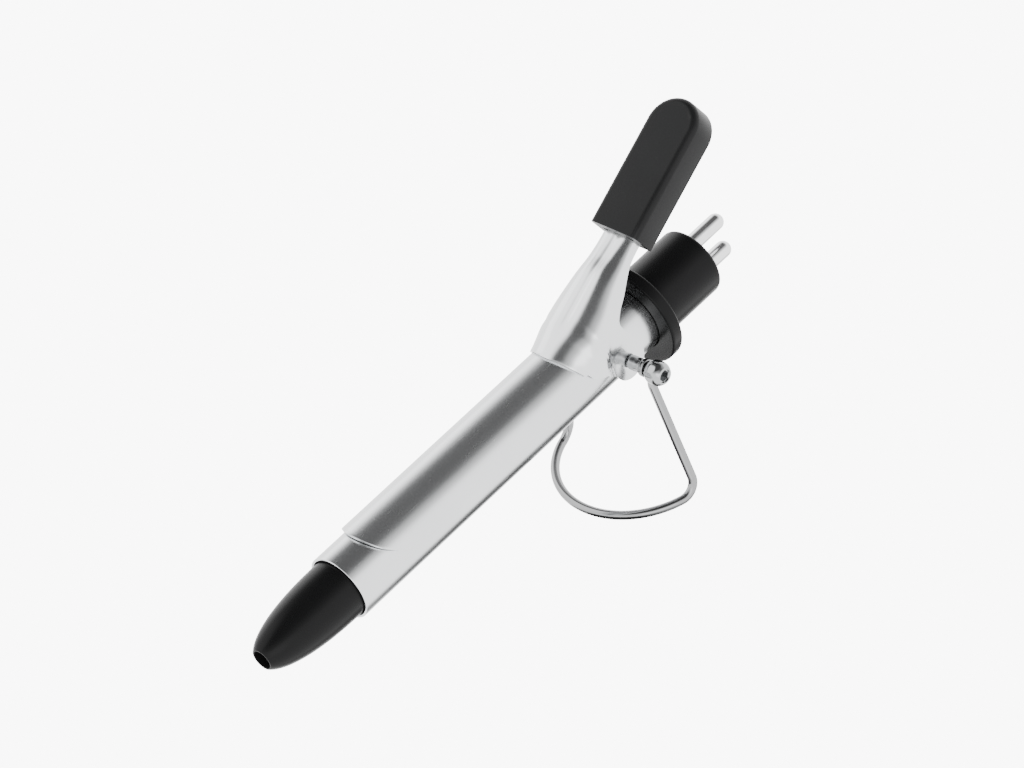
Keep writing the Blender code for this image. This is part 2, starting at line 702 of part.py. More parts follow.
def build_lever(clamp):
    walls = ([], [])
    for x, half_width, shoulder, top in smooth_line(lever_stations(), 4):
        for wall, inset in zip(walls, (0.0, LEVER_SHEET)):
            section = lever_section(x, half_width, shoulder, top, inset)
            wall.append([(x, y, z) for y, z in section])
    lever = add_solid("clamp_lever", clamp, *sheet(walls[0], walls[1]), steel("lever_steel"))
    outline = side_prism(lever_outline(), SKIRT_HALF_WIDTH + 4)
    combine(lever, add_solid("lever_outline", clamp, *outline), "INTERSECT")
    reach = SKIRT_HALF_WIDTH + 6
    bore = turned(cylinder_profile(-reach, reach, EAR_HOLE_RADIUS), along_y(1), SMALL_ROUND)
    combine(lever, add_solid("ear_bore", clamp, *bore), "DIFFERENCE")


def pad_ring(up, inset):
    """The pad's outline at a height over its underside: square front, round rear."""
    half = PAD_WIDTH / 2 - inset
    middle = PAD_LENGTH - PAD_WIDTH / 2
    flat = [(0.0, half), (0.0, -half)] + arc((middle, 0.0), half, -90, 90, 14)
    ring = []
    for along, across in flat:
        x, z = pad_point(along, up)
        ring.append((x, across, z))
    return ring


def build_pad(clamp):
    rings = [pad_ring(0.0, PAD_CHAMFER), pad_ring(PAD_CHAMFER, 0.0)]
    for step in range(PAD_FILLET_STEPS + 1):
        turn = 0.5 * math.pi * step / PAD_FILLET_STEPS
        inset = PAD_FILLET * (1 - math.cos(turn))
        rings.append(pad_ring(PAD_THICKNESS - PAD_FILLET * (1 - math.sin(turn)), inset))
    pad = add_solid("thumb_pad", clamp, *lofted(rings), black_plastic("pad_black"))
    outside = -3.0
    low = NECK_TOP - NECK_DEPTH - FIT
    high = NECK_TOP + FIT
    corners = [pad_point(outside, low), pad_point(TANG_LENGTH + FIT, low),
               pad_point(TANG_LENGTH + FIT, high), pad_point(outside, high)]
    slot = side_prism(corners, NECK_HALF_WIDTH + FIT)
    combine(pad, add_solid("tang_slot", clamp, *slot), "DIFFERENCE")


def build_spring(clamp):
    """A leaf from the lever's underside, bent back to press on the barrel behind the pivot."""
    rest = BARREL_RADIUS + FIT + SPRING_SHEET / 2
    seat = SKIRT_HALF_WIDTH + HOOD_RISE - LEVER_SHEET - FIT - SPRING_SHEET / 2
    arm_knots = [(-7.5, seat - 3.4), (-3.0, seat - 0.9), (1.5, seat - 0.2)]
    bend_knots = [(3.6, seat - 2.6), (1.5, seat - 5.0)]
    foot_knots = [(-3.5, rest + 1.2), (-6.0, rest), (-8.5, rest + 1.2)]
    line = smooth_line([(PIVOT_X + x, z) for x, z in arm_knots + bend_knots + foot_knots], 4)
    walls = ([], [])
    for index, point in enumerate(line):
        before = line[max(index - 1, 0)]
        after = line[min(index + 1, len(line) - 1)]
        heading = (after - before).normalized()
        normal = Vector((-heading.y, heading.x))
        for wall, side in zip(walls, (0.5, -0.5)):
            x, z = point + normal * SPRING_SHEET * side
            wall.append([(x, -SPRING_HALF_WIDTH, z), (x, SPRING_HALF_WIDTH, z)])
    add_solid("clamp_spring", clamp, *sheet(walls[0], walls[1]), steel("spring_steel"))


# ---------------------------------------------------------------- pivot screws

def build_pivot_nut(frame, name, side):
    profile = tube_profile(PIVOT_NUT_START, PIVOT_NUT_END, PIVOT_NUT_RADIUS, SHANK_RADIUS + FIT)
    nut = turned(profile, along_y(side), SMALL_ROUND, ring=True)
    add_solid("pivot_nut_" + name, frame, *nut, steel("pivot_nut_steel_" + name))


def build_near_screw(frame):
    rounding = arc((HEAD_END - HEAD_ROUND, HEAD_RADIUS - HEAD_ROUND), HEAD_ROUND, 90, 0, 4)
    shoulder = arc((GROOVE_END + HEAD_ROUND, HEAD_RADIUS - HEAD_ROUND), HEAD_ROUND, 180, 90, 4)
    profile = [
        (SHANK_START, 0.0), (SHANK_START, SHANK_RADIUS), (COLLAR_START, SHANK_RADIUS),
        (COLLAR_START, COLLAR_RADIUS - COLLAR_EDGE), (COLLAR_START + COLLAR_EDGE, COLLAR_RADIUS),
        (COLLAR_END - COLLAR_EDGE, COLLAR_RADIUS), (COLLAR_END, COLLAR_RADIUS - COLLAR_EDGE),
        (COLLAR_END, SHANK_RADIUS), (GROOVE_END, SHANK_RADIUS),
    ] + shoulder + rounding + [(HEAD_END, 0.0)]
    screw = turned(profile, along_y(-1), 24)
    screw = add_solid("pivot_screw_near", frame, *screw, chrome("near_screw_plate"))
    socket = turned(cylinder_profile(HEAD_END - HEX_DEPTH, HEAD_END + 1, HEX_RADIUS), along_y(-1), 6)
    combine(screw, add_solid("hexagon_socket", frame, *socket), "DIFFERENCE")


def far_stack():
    """Where the far washer and the far eye start and the far head sits, from the middle plane."""
    washer = EAR_OUTER + FIT
    eye = washer + WASHER_THICKNESS + FIT
    head = eye + EYE_THICKNESS + FIT
    return washer, eye, head


def build_far_screw(frame):
    washer, _, head = far_stack()
    head_end = head + FAR_HEAD
    middle = (head_end - FAR_HEAD_ROUND, HEAD_RADIUS - FAR_HEAD_ROUND)
    profile = [
        (SHANK_START, 0.0), (SHANK_START, SHANK_RADIUS), (head, SHANK_RADIUS), (head, HEAD_RADIUS),
    ] + arc(middle, FAR_HEAD_ROUND, 90, 0, 4) + [(head_end, 0.0)]
    screw = turned(profile, along_y(1), 24)
    add_solid("pivot_screw_far", frame, *screw, chrome("far_screw_plate"))
    profile = tube_profile(washer, washer + WASHER_THICKNESS, WASHER_RADIUS, SHANK_RADIUS + FIT)
    ring = turned(profile, along_y(1), SMALL_ROUND, ring=True)
    add_solid("stand_washer_far", frame, *ring, steel("far_washer_steel"))


# ---------------------------------------------------------------- stand

def bend(start, corner, end, steps):
    """A curve that rounds off a corner between two points on the runs that meet there."""
    tightness = 0.55
    first = start + (corner - start) * tightness
    last = end + (corner - end) * tightness
    points = []
    for step in range(steps + 1):
        t = step / steps
        s = 1 - t
        points.append(s ** 3 * start + 3 * s * s * t * first + 3 * s * t * t * last + t ** 3 * end)
    return points


def foot_point(turn):
    """A point on the foot's circle, with turn counted from the point under the middle plane."""
    middle = Vector((PIVOT_X + FOOT_SET_BACK, 0.0, -STAND_DROP))
    return middle + FOOT_RADIUS * Vector((-math.cos(turn), math.sin(turn), 0.0))


def stand_side(side, eye_middle):
    """The wire from an eye down to where the foot's arc starts, and the arc's turn there."""
    top = Vector((PIVOT_X, side * eye_middle, -(EYE_BORE + EYE_RADIUS) / 2))
    corner_turn = math.acos(FOOT_SET_BACK / FOOT_RADIUS)
    corner = foot_point(side * corner_turn)
    down = (corner - top).normalized()
    tapered = [top, top + down * EYE_TAPER / 3, top + down * EYE_TAPER]
    foot_turn = corner_turn - FOOT_BEND / FOOT_RADIUS
    foot_start = foot_point(side * foot_turn)
    return tapered + bend(corner - down * FOOT_BEND, corner, foot_start, 6), foot_turn


def build_stand(stand):
    near_middle = (COLLAR_END + GROOVE_END) / 2
    far_middle = far_stack()[1] + EYE_THICKNESS / 2
    near, foot_turn = stand_side(-1, near_middle)
    far, _ = stand_side(1, far_middle)
    steps = 26
    foot = [foot_point(foot_turn * (2 * step / steps - 1)) for step in range(1, steps)]
    path = near + foot + far[::-1]
    radii = [STAND_WIRE_RADIUS] * len(path)
    for end in (0, 1, -2, -1):
        radii[end] = EYE_NECK_RADIUS
    wire = add_solid("stand_wire", stand, *swept(path, radii, 10), chrome("stand_chrome"))
    for name, side, centre in (("near", -1, near_middle), ("far", 1, far_middle)):
        low = centre - EYE_THICKNESS / 2
        high = centre + EYE_THICKNESS / 2
        disc = turned(cylinder_profile(low, high, EYE_RADIUS), along_y(side), 24)
        combine(wire, add_solid("eye_disc_" + name, stand, *disc), "UNION")
        bore = turned(cylinder_profile(low - 1, high + 1, EYE_BORE), along_y(side), SMALL_ROUND)
        combine(wire, add_solid("eye_bore_" + name, stand, *bore), "DIFFERENCE")


def build():
    clear_scene()
    frame = Group("head_frame", ORIGIN)
    frame.empty.location = Vector((MOUTH_X, 0.0, AXIS_HEIGHT)) * MM
    clamp = Group("clamp_axis", PIVOT, frame.empty)
    stand = Group("stand_axis", PIVOT, frame.empty)
    build_barrel(frame)
    build_nose(frame)
    build_nose_screw(frame)
    build_base_plug(frame)
    build_pin(frame, "upper", PIN_HEIGHT)
    build_pin(frame, "lower", -PIN_HEIGHT)
    build_heater(frame)
    build_leads(frame)
    build_pivot_nut(frame, "near", -1)
    build_pivot_nut(frame, "far", 1)
    build_near_screw(frame)
    build_far_screw(frame)
    build_spoon(clamp)
    build_lever(clamp)
    build_pad(clamp)
    build_spring(clamp)
    build_stand(stand)


build()
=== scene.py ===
import math

import bmesh
import bpy
from mathutils import Matrix, Vector

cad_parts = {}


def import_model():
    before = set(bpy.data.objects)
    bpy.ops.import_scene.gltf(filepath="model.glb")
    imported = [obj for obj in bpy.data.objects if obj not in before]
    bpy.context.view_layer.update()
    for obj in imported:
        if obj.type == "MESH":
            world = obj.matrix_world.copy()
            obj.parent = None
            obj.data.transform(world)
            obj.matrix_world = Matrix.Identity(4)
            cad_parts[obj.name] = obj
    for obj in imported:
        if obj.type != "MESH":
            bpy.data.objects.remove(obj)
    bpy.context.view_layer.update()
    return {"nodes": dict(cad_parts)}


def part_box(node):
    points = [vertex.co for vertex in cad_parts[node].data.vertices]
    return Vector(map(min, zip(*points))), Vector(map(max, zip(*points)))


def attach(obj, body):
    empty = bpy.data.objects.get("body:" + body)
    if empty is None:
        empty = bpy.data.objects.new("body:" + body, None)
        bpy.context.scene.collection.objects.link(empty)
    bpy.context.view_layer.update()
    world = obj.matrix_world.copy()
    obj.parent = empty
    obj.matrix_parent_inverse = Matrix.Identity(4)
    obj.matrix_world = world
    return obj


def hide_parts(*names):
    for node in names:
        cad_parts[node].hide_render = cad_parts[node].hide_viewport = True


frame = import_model()

# Sizes are in millimetres and MM turns them into metres. Pieces are laid out in the barrel's frame: x runs
# from the barrel's mouth towards the contact pins, y to the far side, z up, with the barrel's axis at
# y = 0, z = 0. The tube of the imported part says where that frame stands.
MM = 0.001
TUBE_LOW, TUBE_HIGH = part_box("barrel_tube")
MOUTH = Vector((TUBE_LOW.x, 0.0, (TUBE_LOW.z + TUBE_HIGH.z) / 2))
BARREL_LENGTH = (TUBE_HIGH.x - TUBE_LOW.x) / MM
BARREL_RADIUS = 10.0
BARREL_BORE = 9.2
FIT = 0.3

NOSE_LENGTH = 30.1
NOSE_TAPER = 1.05 * NOSE_LENGTH
NOSE_ROUNDNESS = 2.3
NOSE_FULLNESS = 0.44
NOSE_RADIUS = BARREL_BORE - FIT
NOSE_SPIGOT = 12.0
NOSE_HOLE = 2.85
NOSE_HOLE_DEPTH = 24.0
NOSE_SCREW_BORE = 1.8

FLANGE_RADIUS = 15.6
FLANGE_FRONT = BARREL_LENGTH - 2.4
FLANGE_REAR = FLANGE_FRONT + 3.8
PLUG_RADIUS = 10.5
PLUG_END = FLANGE_REAR + 22.7
CAVITY_END = PLUG_END - 5.0
CAVITY_RADIUS = 8.8
PIN_RADIUS = 2.4
PIN_HEIGHT = 5.12
PIN_END = PLUG_END + 13.8

PIVOT_X = BARREL_LENGTH - 16.0
SPOON_START = 9.6
SPOON_END = PIVOT_X - 10.0
SPOON_LIP = 15.0
SPOON_HALF_ANGLE = math.radians(76.0)
SPOON_INNER = 10.5
SPOON_SHEET = 0.8
SPOON_OUTER = SPOON_INNER + SPOON_SHEET

# The lever's widths and heights are to the inside of its sheet, and the sheet's thickness is added outwards.
SKIRT_START = PIVOT_X - 18.6
SKIRT_HALF_WIDTH = 12.0
LEVER_SHEET = 0.6
EAR_INNER = 11.1
EAR_RADIUS = 5.7
EAR_HOLE = 1.9
HOOD_RISE = 7.6
HOOD_FRONT = 10.0
FLUSH_RADIUS = SPOON_OUTER + 0.1
NECK_HALF_WIDTH = 5.4
NECK_TOP = 6.1
NECK_DEPTH = 3.2
TANG_LENGTH = 14.0
CREASE_DEPTH = 0.6
CREASE_WIDTH = 1.5
BOSS_RISE = 0.25
BOSS_RADIUS = 2.4
BOSS_RUN_OUT = 3.6
FRONT_SWEEP = 5.2
FRONT_CURVE = 1.6
FRONT_LAST_ANGLE = 70.0
WALL_STEPS = 36
DOME_STEPS = 72
LEVER_ROWS = 130
ROWS_CROWD_FORWARD = 1.3

PAD_X = PIVOT_X + 20.2
PAD_Z = 22.5
PAD_TILT = math.radians(27.4)
PAD_WIDTH = 16.9
PAD_THICKNESS = 9.7
PAD_LENGTH = 41.3
PAD_FILLET = 2.0

SCREW_START = 5.8
SHANK_RADIUS = 1.4
COLLAR_RADIUS = 2.1
COLLAR_START = 12.4
COLLAR_END = 16.4
GROOVE_END = 18.6
HEAD_RADIUS = 3.5
HEAD_END = 24.8
FAR_EYE = 12.3
FAR_HEAD = 14.1
FAR_HEAD_END = 16.7

STAND_DROP = 43.5
WIRE_RADIUS = 1.3
FOOT_RADIUS = 24.7
FOOT_SET_BACK = 3.5
FOOT_BEND = 5.0
EYE_RADIUS = 2.6
EYE_BORE = 1.75
EYE_THICKNESS = 1.5
EYE_NECK = 0.7
EYE_TAPER = 4.5

ROUND = 128
SMALL_ROUND = 64


# ---------------------------------------------------------------- node trees

class Tree:
    """A node tree that is filled by naming each node's inputs."""

    def __init__(self, tree):
        self.tree = tree
        self.nodes = tree.nodes

    def add(self, kind, inputs=None, **settings):
        node = self.nodes.new(kind)
        for name, value in settings.items():
            setattr(node, name, value)
        for name, value in (inputs or {}).items():
            socket = node.inputs[name]
            if isinstance(value, bpy.types.NodeSocket):
                self.tree.links.new(value, socket)
            else:
                socket.default_value = value
        return node

    def math(self, operation, first, second=0.0):
        return self.add("ShaderNodeMath", {0: first, 1: second}, operation=operation).outputs[0]

    def ramp(self, value, stops):
        """A smooth ramp of grey from (position, brightness) stops."""
        node = self.add("ShaderNodeValToRGB", {"Fac": value})
        node.color_ramp.interpolation = "EASE"
        elements = node.color_ramp.elements
        while len(elements) < len(stops):
            elements.new(0.5)
        for element, (position, grey) in zip(elements, stops):
            element.position = position
            element.color = (grey, grey, grey, 1.0)
        return node.outputs["Color"]


def surface(name):
    """A new material: its tree, its shader and the place on the piece in millimetres."""
    made = bpy.data.materials.new(name)
    made.use_nodes = True
    tree = Tree(made.node_tree)
    shader = tree.nodes["Principled BSDF"]
    place = tree.add("ShaderNodeTexCoord").outputs["Object"]
    in_mm = tree.add("ShaderNodeVectorMath", {0: place, "Scale": 1 / MM}, operation="SCALE").outputs[0]
    return made, tree, shader, in_mm


def stretched(tree, place, scale):
    return tree.add("ShaderNodeVectorMath", {0: place, 1: scale}, operation="MULTIPLY").outputs[0]


def noise(tree, place, scale, detail=3.0, roughness=0.55):
    inputs = {"Vector": place, "Scale": scale, "Detail": detail, "Roughness": roughness}
    return tree.add("ShaderNodeTexNoise", inputs).outputs["Fac"]


def scratches(tree, place, scale, amount):
    """Thin marks: 1 on a few long, wandering hairlines and 0 elsewhere."""
    bent = tree.add("ShaderNodeTexNoise", {"Vector": place, "Scale": 0.12, "Detail": 2.0}).outputs["Color"]
    push = tree.add("ShaderNodeVectorMath", {0: bent, "Scale": 5.0}, operation="SCALE").outputs[0]
    shifted = tree.add("ShaderNodeVectorMath", {0: place, 1: push}, operation="ADD").outputs[0]
    lines = tree.add("ShaderNodeTexNoise", {"Vector": stretched(tree, shifted, scale), "Scale": 1.0,
                                            "Detail": 1.0}).outputs["Fac"]
    return tree.ramp(lines, [(0.70 - amount, 0.0), (0.74 - amount, 1.0), (0.78 - amount, 0.0)])


def worn_edges(tree, place, low=0.52, high=0.62):
    """1 on outer edges, broken up by noise."""
    bend = tree.add("ShaderNodeNewGeometry").outputs["Pointiness"]
    patchy = tree.math("MULTIPLY", noise(tree, place, 0.8), 0.06)
    return tree.ramp(tree.math("ADD", bend, tree.math("SUBTRACT", patchy, 0.03)), [(low, 0.0), (high, 1.0)])


def mixed(tree, share, first, second):
    node = tree.add("ShaderNodeMix", {"Factor": share}, data_type="RGBA")
    colours = [socket for socket in node.inputs if socket.type == "RGBA"]
    for socket, value in zip(colours, (first, second)):
        if isinstance(value, bpy.types.NodeSocket):
            tree.tree.links.new(value, socket)
        else:
            socket.default_value = (*value, 1.0)
    return [socket for socket in node.outputs if socket.type == "RGBA"][0]


def between(tree, share, low, high):
    """A number from low to high as share goes from 0 to 1."""
    return tree.math("ADD", tree.math("MULTIPLY", share, high - low), low)


def finish_surface(tree, shader, colour, roughness, height, bump, depth):
    relief = tree.add("ShaderNodeBump", {"Strength": bump, "Distance": depth * MM, "Height": height})
    tree.tree.links.new(colour, shader.inputs["Base Color"])
    tree.tree.links.new(roughness, shader.inputs["Roughness"])
    tree.tree.links.new(relief.outputs["Normal"], shader.inputs["Normal"])


def brushed_metal(name, colour, grain, roughness=(0.26, 0.40), bump=0.10):
    """Satin metal. grain is the number of marks in a millimetre along x, y and z."""
    made, tree, shader, place = surface(name)
    fine = noise(tree, stretched(tree, place, grain), 1.0, 4.0, 0.6)
    cloud = noise(tree, place, 0.05, 4.0)
    marks = scratches(tree, place, (0.05, 2.2, 2.2), 0.0)
    wear = worn_edges(tree, place)
    dull = tuple(0.86 * c for c in colour)
    bright = tuple(min(1.12 * c, 0.95) for c in colour)
    base = mixed(tree, tree.math("MULTIPLY", cloud, 0.8), colour, dull)
    base = mixed(tree, wear, base, bright)
    grain_and_cloud = tree.math("ADD", tree.math("MULTIPLY", fine, 0.6), tree.math("MULTIPLY", cloud, 0.4))
    rough = between(tree, grain_and_cloud, *roughness)
    rough = tree.math("SUBTRACT", rough, tree.math("MULTIPLY", wear, 0.08))
    rough = tree.math("ADD", rough, tree.math("MULTIPLY", marks, 0.08))
    height = tree.math("SUBTRACT", fine, tree.math("MULTIPLY", marks, 0.15))
    shader.inputs["Metallic"].default_value = 1.0
    finish_surface(tree, shader, base, rough, height, bump, 0.02)
    return made


def polished_metal(name, colour, roughness=(0.05, 0.16)):
    made, tree, shader, place = surface(name)
    haze = noise(tree, place, 0.35, 4.0)
    fine = noise(tree, place, 6.0, 3.0)
    marks = scratches(tree, place, (0.5, 3.0, 3.0), 0.01)
    wear = worn_edges(tree, place)
    base = mixed(tree, haze, colour, tuple(0.88 * c for c in colour))
    base = mixed(tree, wear, base, tuple(min(1.1 * c, 0.96) for c in colour))
    rough = between(tree, haze, *roughness)
    rough = tree.math("ADD", rough, tree.math("MULTIPLY", marks, 0.12))
    shader.inputs["Metallic"].default_value = 1.0
    finish_surface(tree, shader, base, rough, tree.math("SUBTRACT", fine, marks), 0.04, 0.01)
    return made


def moulded_plastic(name, colour, roughness=(0.30, 0.42), texture=7.0, bump=0.05, specular=0.2):
    """Black moulding: a fine spark-eroded texture, rubbed smoother and paler along its edges."""
    made, tree, shader, place = surface(name)
    fine = noise(tree, place, texture, 4.0, 0.65)
    cloud = noise(tree, place, 0.09, 3.0)
    marks = scratches(tree, place, (0.3, 2.4, 2.4), -0.02)
    wear = worn_edges(tree, place, 0.53, 0.66)
    base = mixed(tree, cloud, colour, tuple(1.35 * c for c in colour))
    base = mixed(tree, tree.math("MULTIPLY", wear, 0.5), base, tuple(2.4 * c for c in colour))
    base = mixed(tree, tree.math("MULTIPLY", marks, 0.35), base, tuple(3.0 * c for c in colour))
    grain_and_cloud = tree.math("ADD", tree.math("MULTIPLY", fine, 0.5), tree.math("MULTIPLY", cloud, 0.5))
    rough = between(tree, grain_and_cloud, *roughness)
    rough = tree.math("SUBTRACT", rough, tree.math("MULTIPLY", wear, 0.08))
    shader.inputs["Specular IOR Level"].default_value = specular
    finish_surface(tree, shader, base, rough, tree.math("SUBTRACT", fine, marks), bump, 0.02)
    return made


def fired_ceramic(name, colour):
    made, tree, shader, place = surface(name)
    grain = noise(tree, place, 2.5, 6.0, 0.7)
    pits = tree.ramp(noise(tree, place, 5.0, 2.0), [(0.30, 1.0), (0.36, 0.0)])
    base = mixed(tree, grain, colour, tuple(0.8 * c for c in colour))
    base = mixed(tree, tree.math("MULTIPLY", pits, 0.5), base, tuple(0.45 * c for c in colour))
    rough = between(tree, grain, 0.55, 0.78)
    finish_surface(tree, shader, base, rough, tree.math("SUBTRACT", grain, pits), 0.35, 0.05)
    return made


def layered_mica(name):
    made, tree, shader, place = surface(name)
    flakes = tree.add("ShaderNodeTexVoronoi", {"Vector": place, "Scale": 0.5}).outputs["Distance"]
    grain = noise(tree, place, 3.0, 4.0)
    base = mixed(tree, flakes, (0.55, 0.44, 0.27), (0.34, 0.25, 0.13))
    rough = between(tree, grain, 0.22, 0.5)
    finish_surface(tree, shader, base, rough, flakes, 0.2, 0.03)
    return made


def heated_wire(name):
    """Resistance wire, darkened in bands by its own heat."""
    made, tree, shader, place = surface(name)
    bands = noise(tree, stretched(tree, place, (0.4, 0.05, 0.05)), 1.0, 3.0)
    grain = noise(tree, place, 9.0, 3.0)
    base = mixed(tree, bands, (0.40, 0.37, 0.34), (0.20, 0.16, 0.14))
    rough = between(tree, grain, 0.35, 0.6)
    shader.inputs["Metallic"].default_value = 1.0
    finish_surface(tree, shader, base, rough, grain, 0.15, 0.02)
    return made


def silicone(name, colour):
    made, tree, shader, place = surface(name)
    grain = noise(tree, place, 4.0, 4.0)
    dust = noise(tree, place, 0.3, 4.0)
    base = mixed(tree, dust, colour, tuple(min(0.8 * c + 0.05, 1.0) for c in colour))
    rough = between(tree, grain, 0.42, 0.62)
    finish_surface(tree, shader, base, rough, grain, 0.15, 0.02)
    return made


STEEL = (0.66, 0.67, 0.68)
SCREW = (0.34, 0.345, 0.35)
WIRE = (0.26, 0.262, 0.265)
BLACK = (0.0045, 0.0045, 0.0047)
ALONG = (0.1, 4.0, 4.0)
barrel_steel = brushed_metal("barrel_steel", STEEL, ALONG, roughness=(0.18, 0.26), bump=0.02)
clamp_steel = brushed_metal("clamp_steel", STEEL, ALONG, roughness=(0.19, 0.29), bump=0.03)
lever_steel = brushed_metal("lever_steel", STEEL, (0.4, 4.0, 0.4), roughness=(0.14, 0.22), bump=0.012)
plain_steel = brushed_metal("plain_steel", (0.55, 0.55, 0.56), (4.0, 4.0, 4.0), roughness=(0.30, 0.50))
fuse_tin = brushed_metal("fuse_tin", (0.58, 0.57, 0.55), (0.5, 5.0, 5.0), roughness=(0.30, 0.48))
spreader_aluminium = brushed_metal("spreader_aluminium", (0.75, 0.76, 0.77), (0.3, 4.0, 4.0))
turned_brass = brushed_metal("turned_brass", (0.72, 0.54, 0.25), (6.0, 0.8, 0.8), roughness=(0.22, 0.42))
screw_chrome = polished_metal("screw_chrome", SCREW, roughness=(0.08, 0.18))
stand_chrome = polished_metal("stand_chrome", WIRE, roughness=(0.08, 0.18))
pin_plate = polished_metal("pin_plate", (0.78, 0.78, 0.79), roughness=(0.10, 0.24))
nose_black = moulded_plastic("nose_black", BLACK, roughness=(0.22, 0.32), bump=0.03, specular=0.08)
plug_black = moulded_plastic("plug_black", BLACK, roughness=(0.22, 0.32), specular=0.07)
pad_black = moulded_plastic("pad_black", (0.0085, 0.0085, 0.0088), roughness=(0.26, 0.38), specular=0.08)
ceramic = fired_ceramic("ceramic", (0.78, 0.74, 0.66))
mica = layered_mica("mica")
resistance_wire = heated_wire("resistance_wire")
red_cover = silicone("red_cover", (0.55, 0.06, 0.05))
white_cover = silicone("white_cover", (0.72, 0.72, 0.69))


# ---------------------------------------------------------------- shapes

def world(point):
    """A point of the barrel's frame, in metres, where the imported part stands."""
    return MOUTH + Vector(point) * MM


def make_object(name, mesh):
    made = bpy.data.objects.new(name, mesh)
    bpy.context.scene.collection.objects.link(made)
    return made


def solid(name, points, faces, finish, sharp=35.0):
    """A closed body from points in the barrel's frame, facing outwards and smooth except at sharp edges."""
    mesh = bpy.data.meshes.new(name)
    mesh.from_pydata([tuple(world(p)) for p in points], [], faces)
    shell = bmesh.new()
    shell.from_mesh(mesh)
    bmesh.ops.recalc_face_normals(shell, faces=shell.faces)
    if shell.calc_volume(signed=True) < 0:
        bmesh.ops.reverse_faces(shell, faces=shell.faces)
    shell.to_mesh(mesh)
    shell.free()
    mesh.shade_smooth()
    mesh.set_sharp_from_angle(angle=math.radians(sharp))
    mesh.materials.append(finish)
    return make_object(name, mesh)


def settle(piece):
    """The piece's modifiers made part of its mesh."""
    bpy.context.view_layer.update()
    seen = piece.evaluated_get(bpy.context.evaluated_depsgraph_get())
    mesh = bpy.data.meshes.new_from_object(seen)
    piece.modifiers.clear()
    if piece.type == "MESH":
        piece.data = mesh
        return piece
    name = piece.name
    bpy.data.objects.remove(piece)
    return make_object(name, mesh)


def cut(piece, tools, operation="DIFFERENCE"):
    """The piece with the tools taken away, or joined or kept in common, and the tools removed."""
    for tool in tools:
        step = piece.modifiers.new(tool.name, "BOOLEAN")
        step.operation = operation
        step.solver = "EXACT"
        step.object = tool
    settle(piece)
    for tool in tools:
        bpy.data.objects.remove(tool)
    return piece


def ease_edges(piece, width, segments=2, angle=40.0, sharp=35.0):
    """Small rounds on the sharp edges."""
    step = piece.modifiers.new("edge_rounds", "BEVEL")
    step.width = width * MM
    step.segments = segments
    step.limit_method = "ANGLE"
    step.angle_limit = math.radians(angle)
    step.use_clamp_overlap = True
    step.harden_normals = False
    settle(piece)
    piece.data.shade_smooth()
    piece.data.set_sharp_from_angle(angle=math.radians(sharp))
    return piece


def rounded(corners, steps=6):
    """A profile of (distance, radius, round) corners, with each corner rounded by its own length."""
    profile = []
    for index, (distance, radius, size) in enumerate(corners):
        here = Vector((distance, radius))
        if size == 0 or index in (0, len(corners) - 1):
            profile.append(here)
            continue
        before = Vector(corners[index - 1][:2])
        after = Vector(corners[index + 1][:2])
        start = here + (before - here).normalized() * size
        end = here + (after - here).normalized() * size
        for step in range(steps + 1):
            t = step / steps
            profile.append((1 - t) ** 2 * start + 2 * t * (1 - t) * here + t * t * end)
    return [tuple(p) for p in profile]


def turned(profile, place, sides, ring=False):
    """Points and faces of a profile of (distance, radius) turned about an axis."""
    points = []
    rows = []
    for distance, radius in profile:
        if radius < 1e-6:
            rows.append([len(points)] * sides)
            points.append(place(distance, 0.0, 0.0))
            continue
        rows.append(list(range(len(points), len(points) + sides)))
        for side in range(sides):
            turn = 2 * math.pi * side / sides
            points.append(place(distance, radius * math.cos(turn), radius * math.sin(turn)))
    pairs = list(zip(rows, rows[1:]))
    if ring:
        pairs.append((rows[-1], rows[0]))
    faces = []
    for first, second in pairs:
        for side in range(sides):
            after = (side + 1) % sides
            corners = [first[side], first[after], second[after], second[side]]
            faces.append(list(dict.fromkeys(corners)))
    return points, faces


def along_x(up=0.0):
    return lambda distance, y, z: (distance, y, up + z)


def along_y(side):
    """side is -1 for the near side and 1 for the far one, and distances count from the middle plane."""
    return lambda distance, across, up: (PIVOT_X + across, side * distance, up)


def rod(name, place, start, end, radius, sides=SMALL_ROUND):
    """A plain cylinder to cut with."""
    profile = [(start, 0.0), (start, radius), (end, radius), (end, 0.0)]
    return solid(name, *turned(profile, place, sides), None)


def sheet(first, second):
    """A wall between two grids of points of the same size, closed along all four edges."""
    rows = len(first)
    columns = len(first[0])
    points = [p for row in first for p in row] + [p for row in second for p in row]

    def at(row, column, layer):
        return layer * rows * columns + row * columns + column

    faces = []
    for layer in (0, 1):
        for row in range(rows - 1):
            for column in range(columns - 1):
                faces.append([at(row, column, layer), at(row, column + 1, layer),
                              at(row + 1, column + 1, layer), at(row + 1, column, layer)])
    edges = [((row, column), (row, column + 1)) for row in (0, rows - 1) for column in range(columns - 1)]
    edges += [((row, column), (row + 1, column)) for column in (0, columns - 1) for row in range(rows - 1)]
    for start, end in edges:
        faces.append([at(*start, 0), at(*end, 0), at(*end, 1), at(*start, 1)])
    return points, faces


def lofted(rings):
    """A solid through rings of points of the same count, with flat ends."""
    count = len(rings[0])
    points = [p for ring in rings for p in ring]
    faces = [list(range(count)), list(range((len(rings) - 1) * count, len(rings) * count))]
    for level in range(len(rings) - 1):
        for index in range(count):
            after = (index + 1) % count
            low = level * count
            faces.append([low + index, low + after, low + count + after, low + count + index])
    return points, faces


def side_prism(outline, reach):
    """An outline of (x, z) points drawn out to both sides by reach."""
    return lofted([[(x, y, z) for x, z in outline] for y in (-reach, reach)])


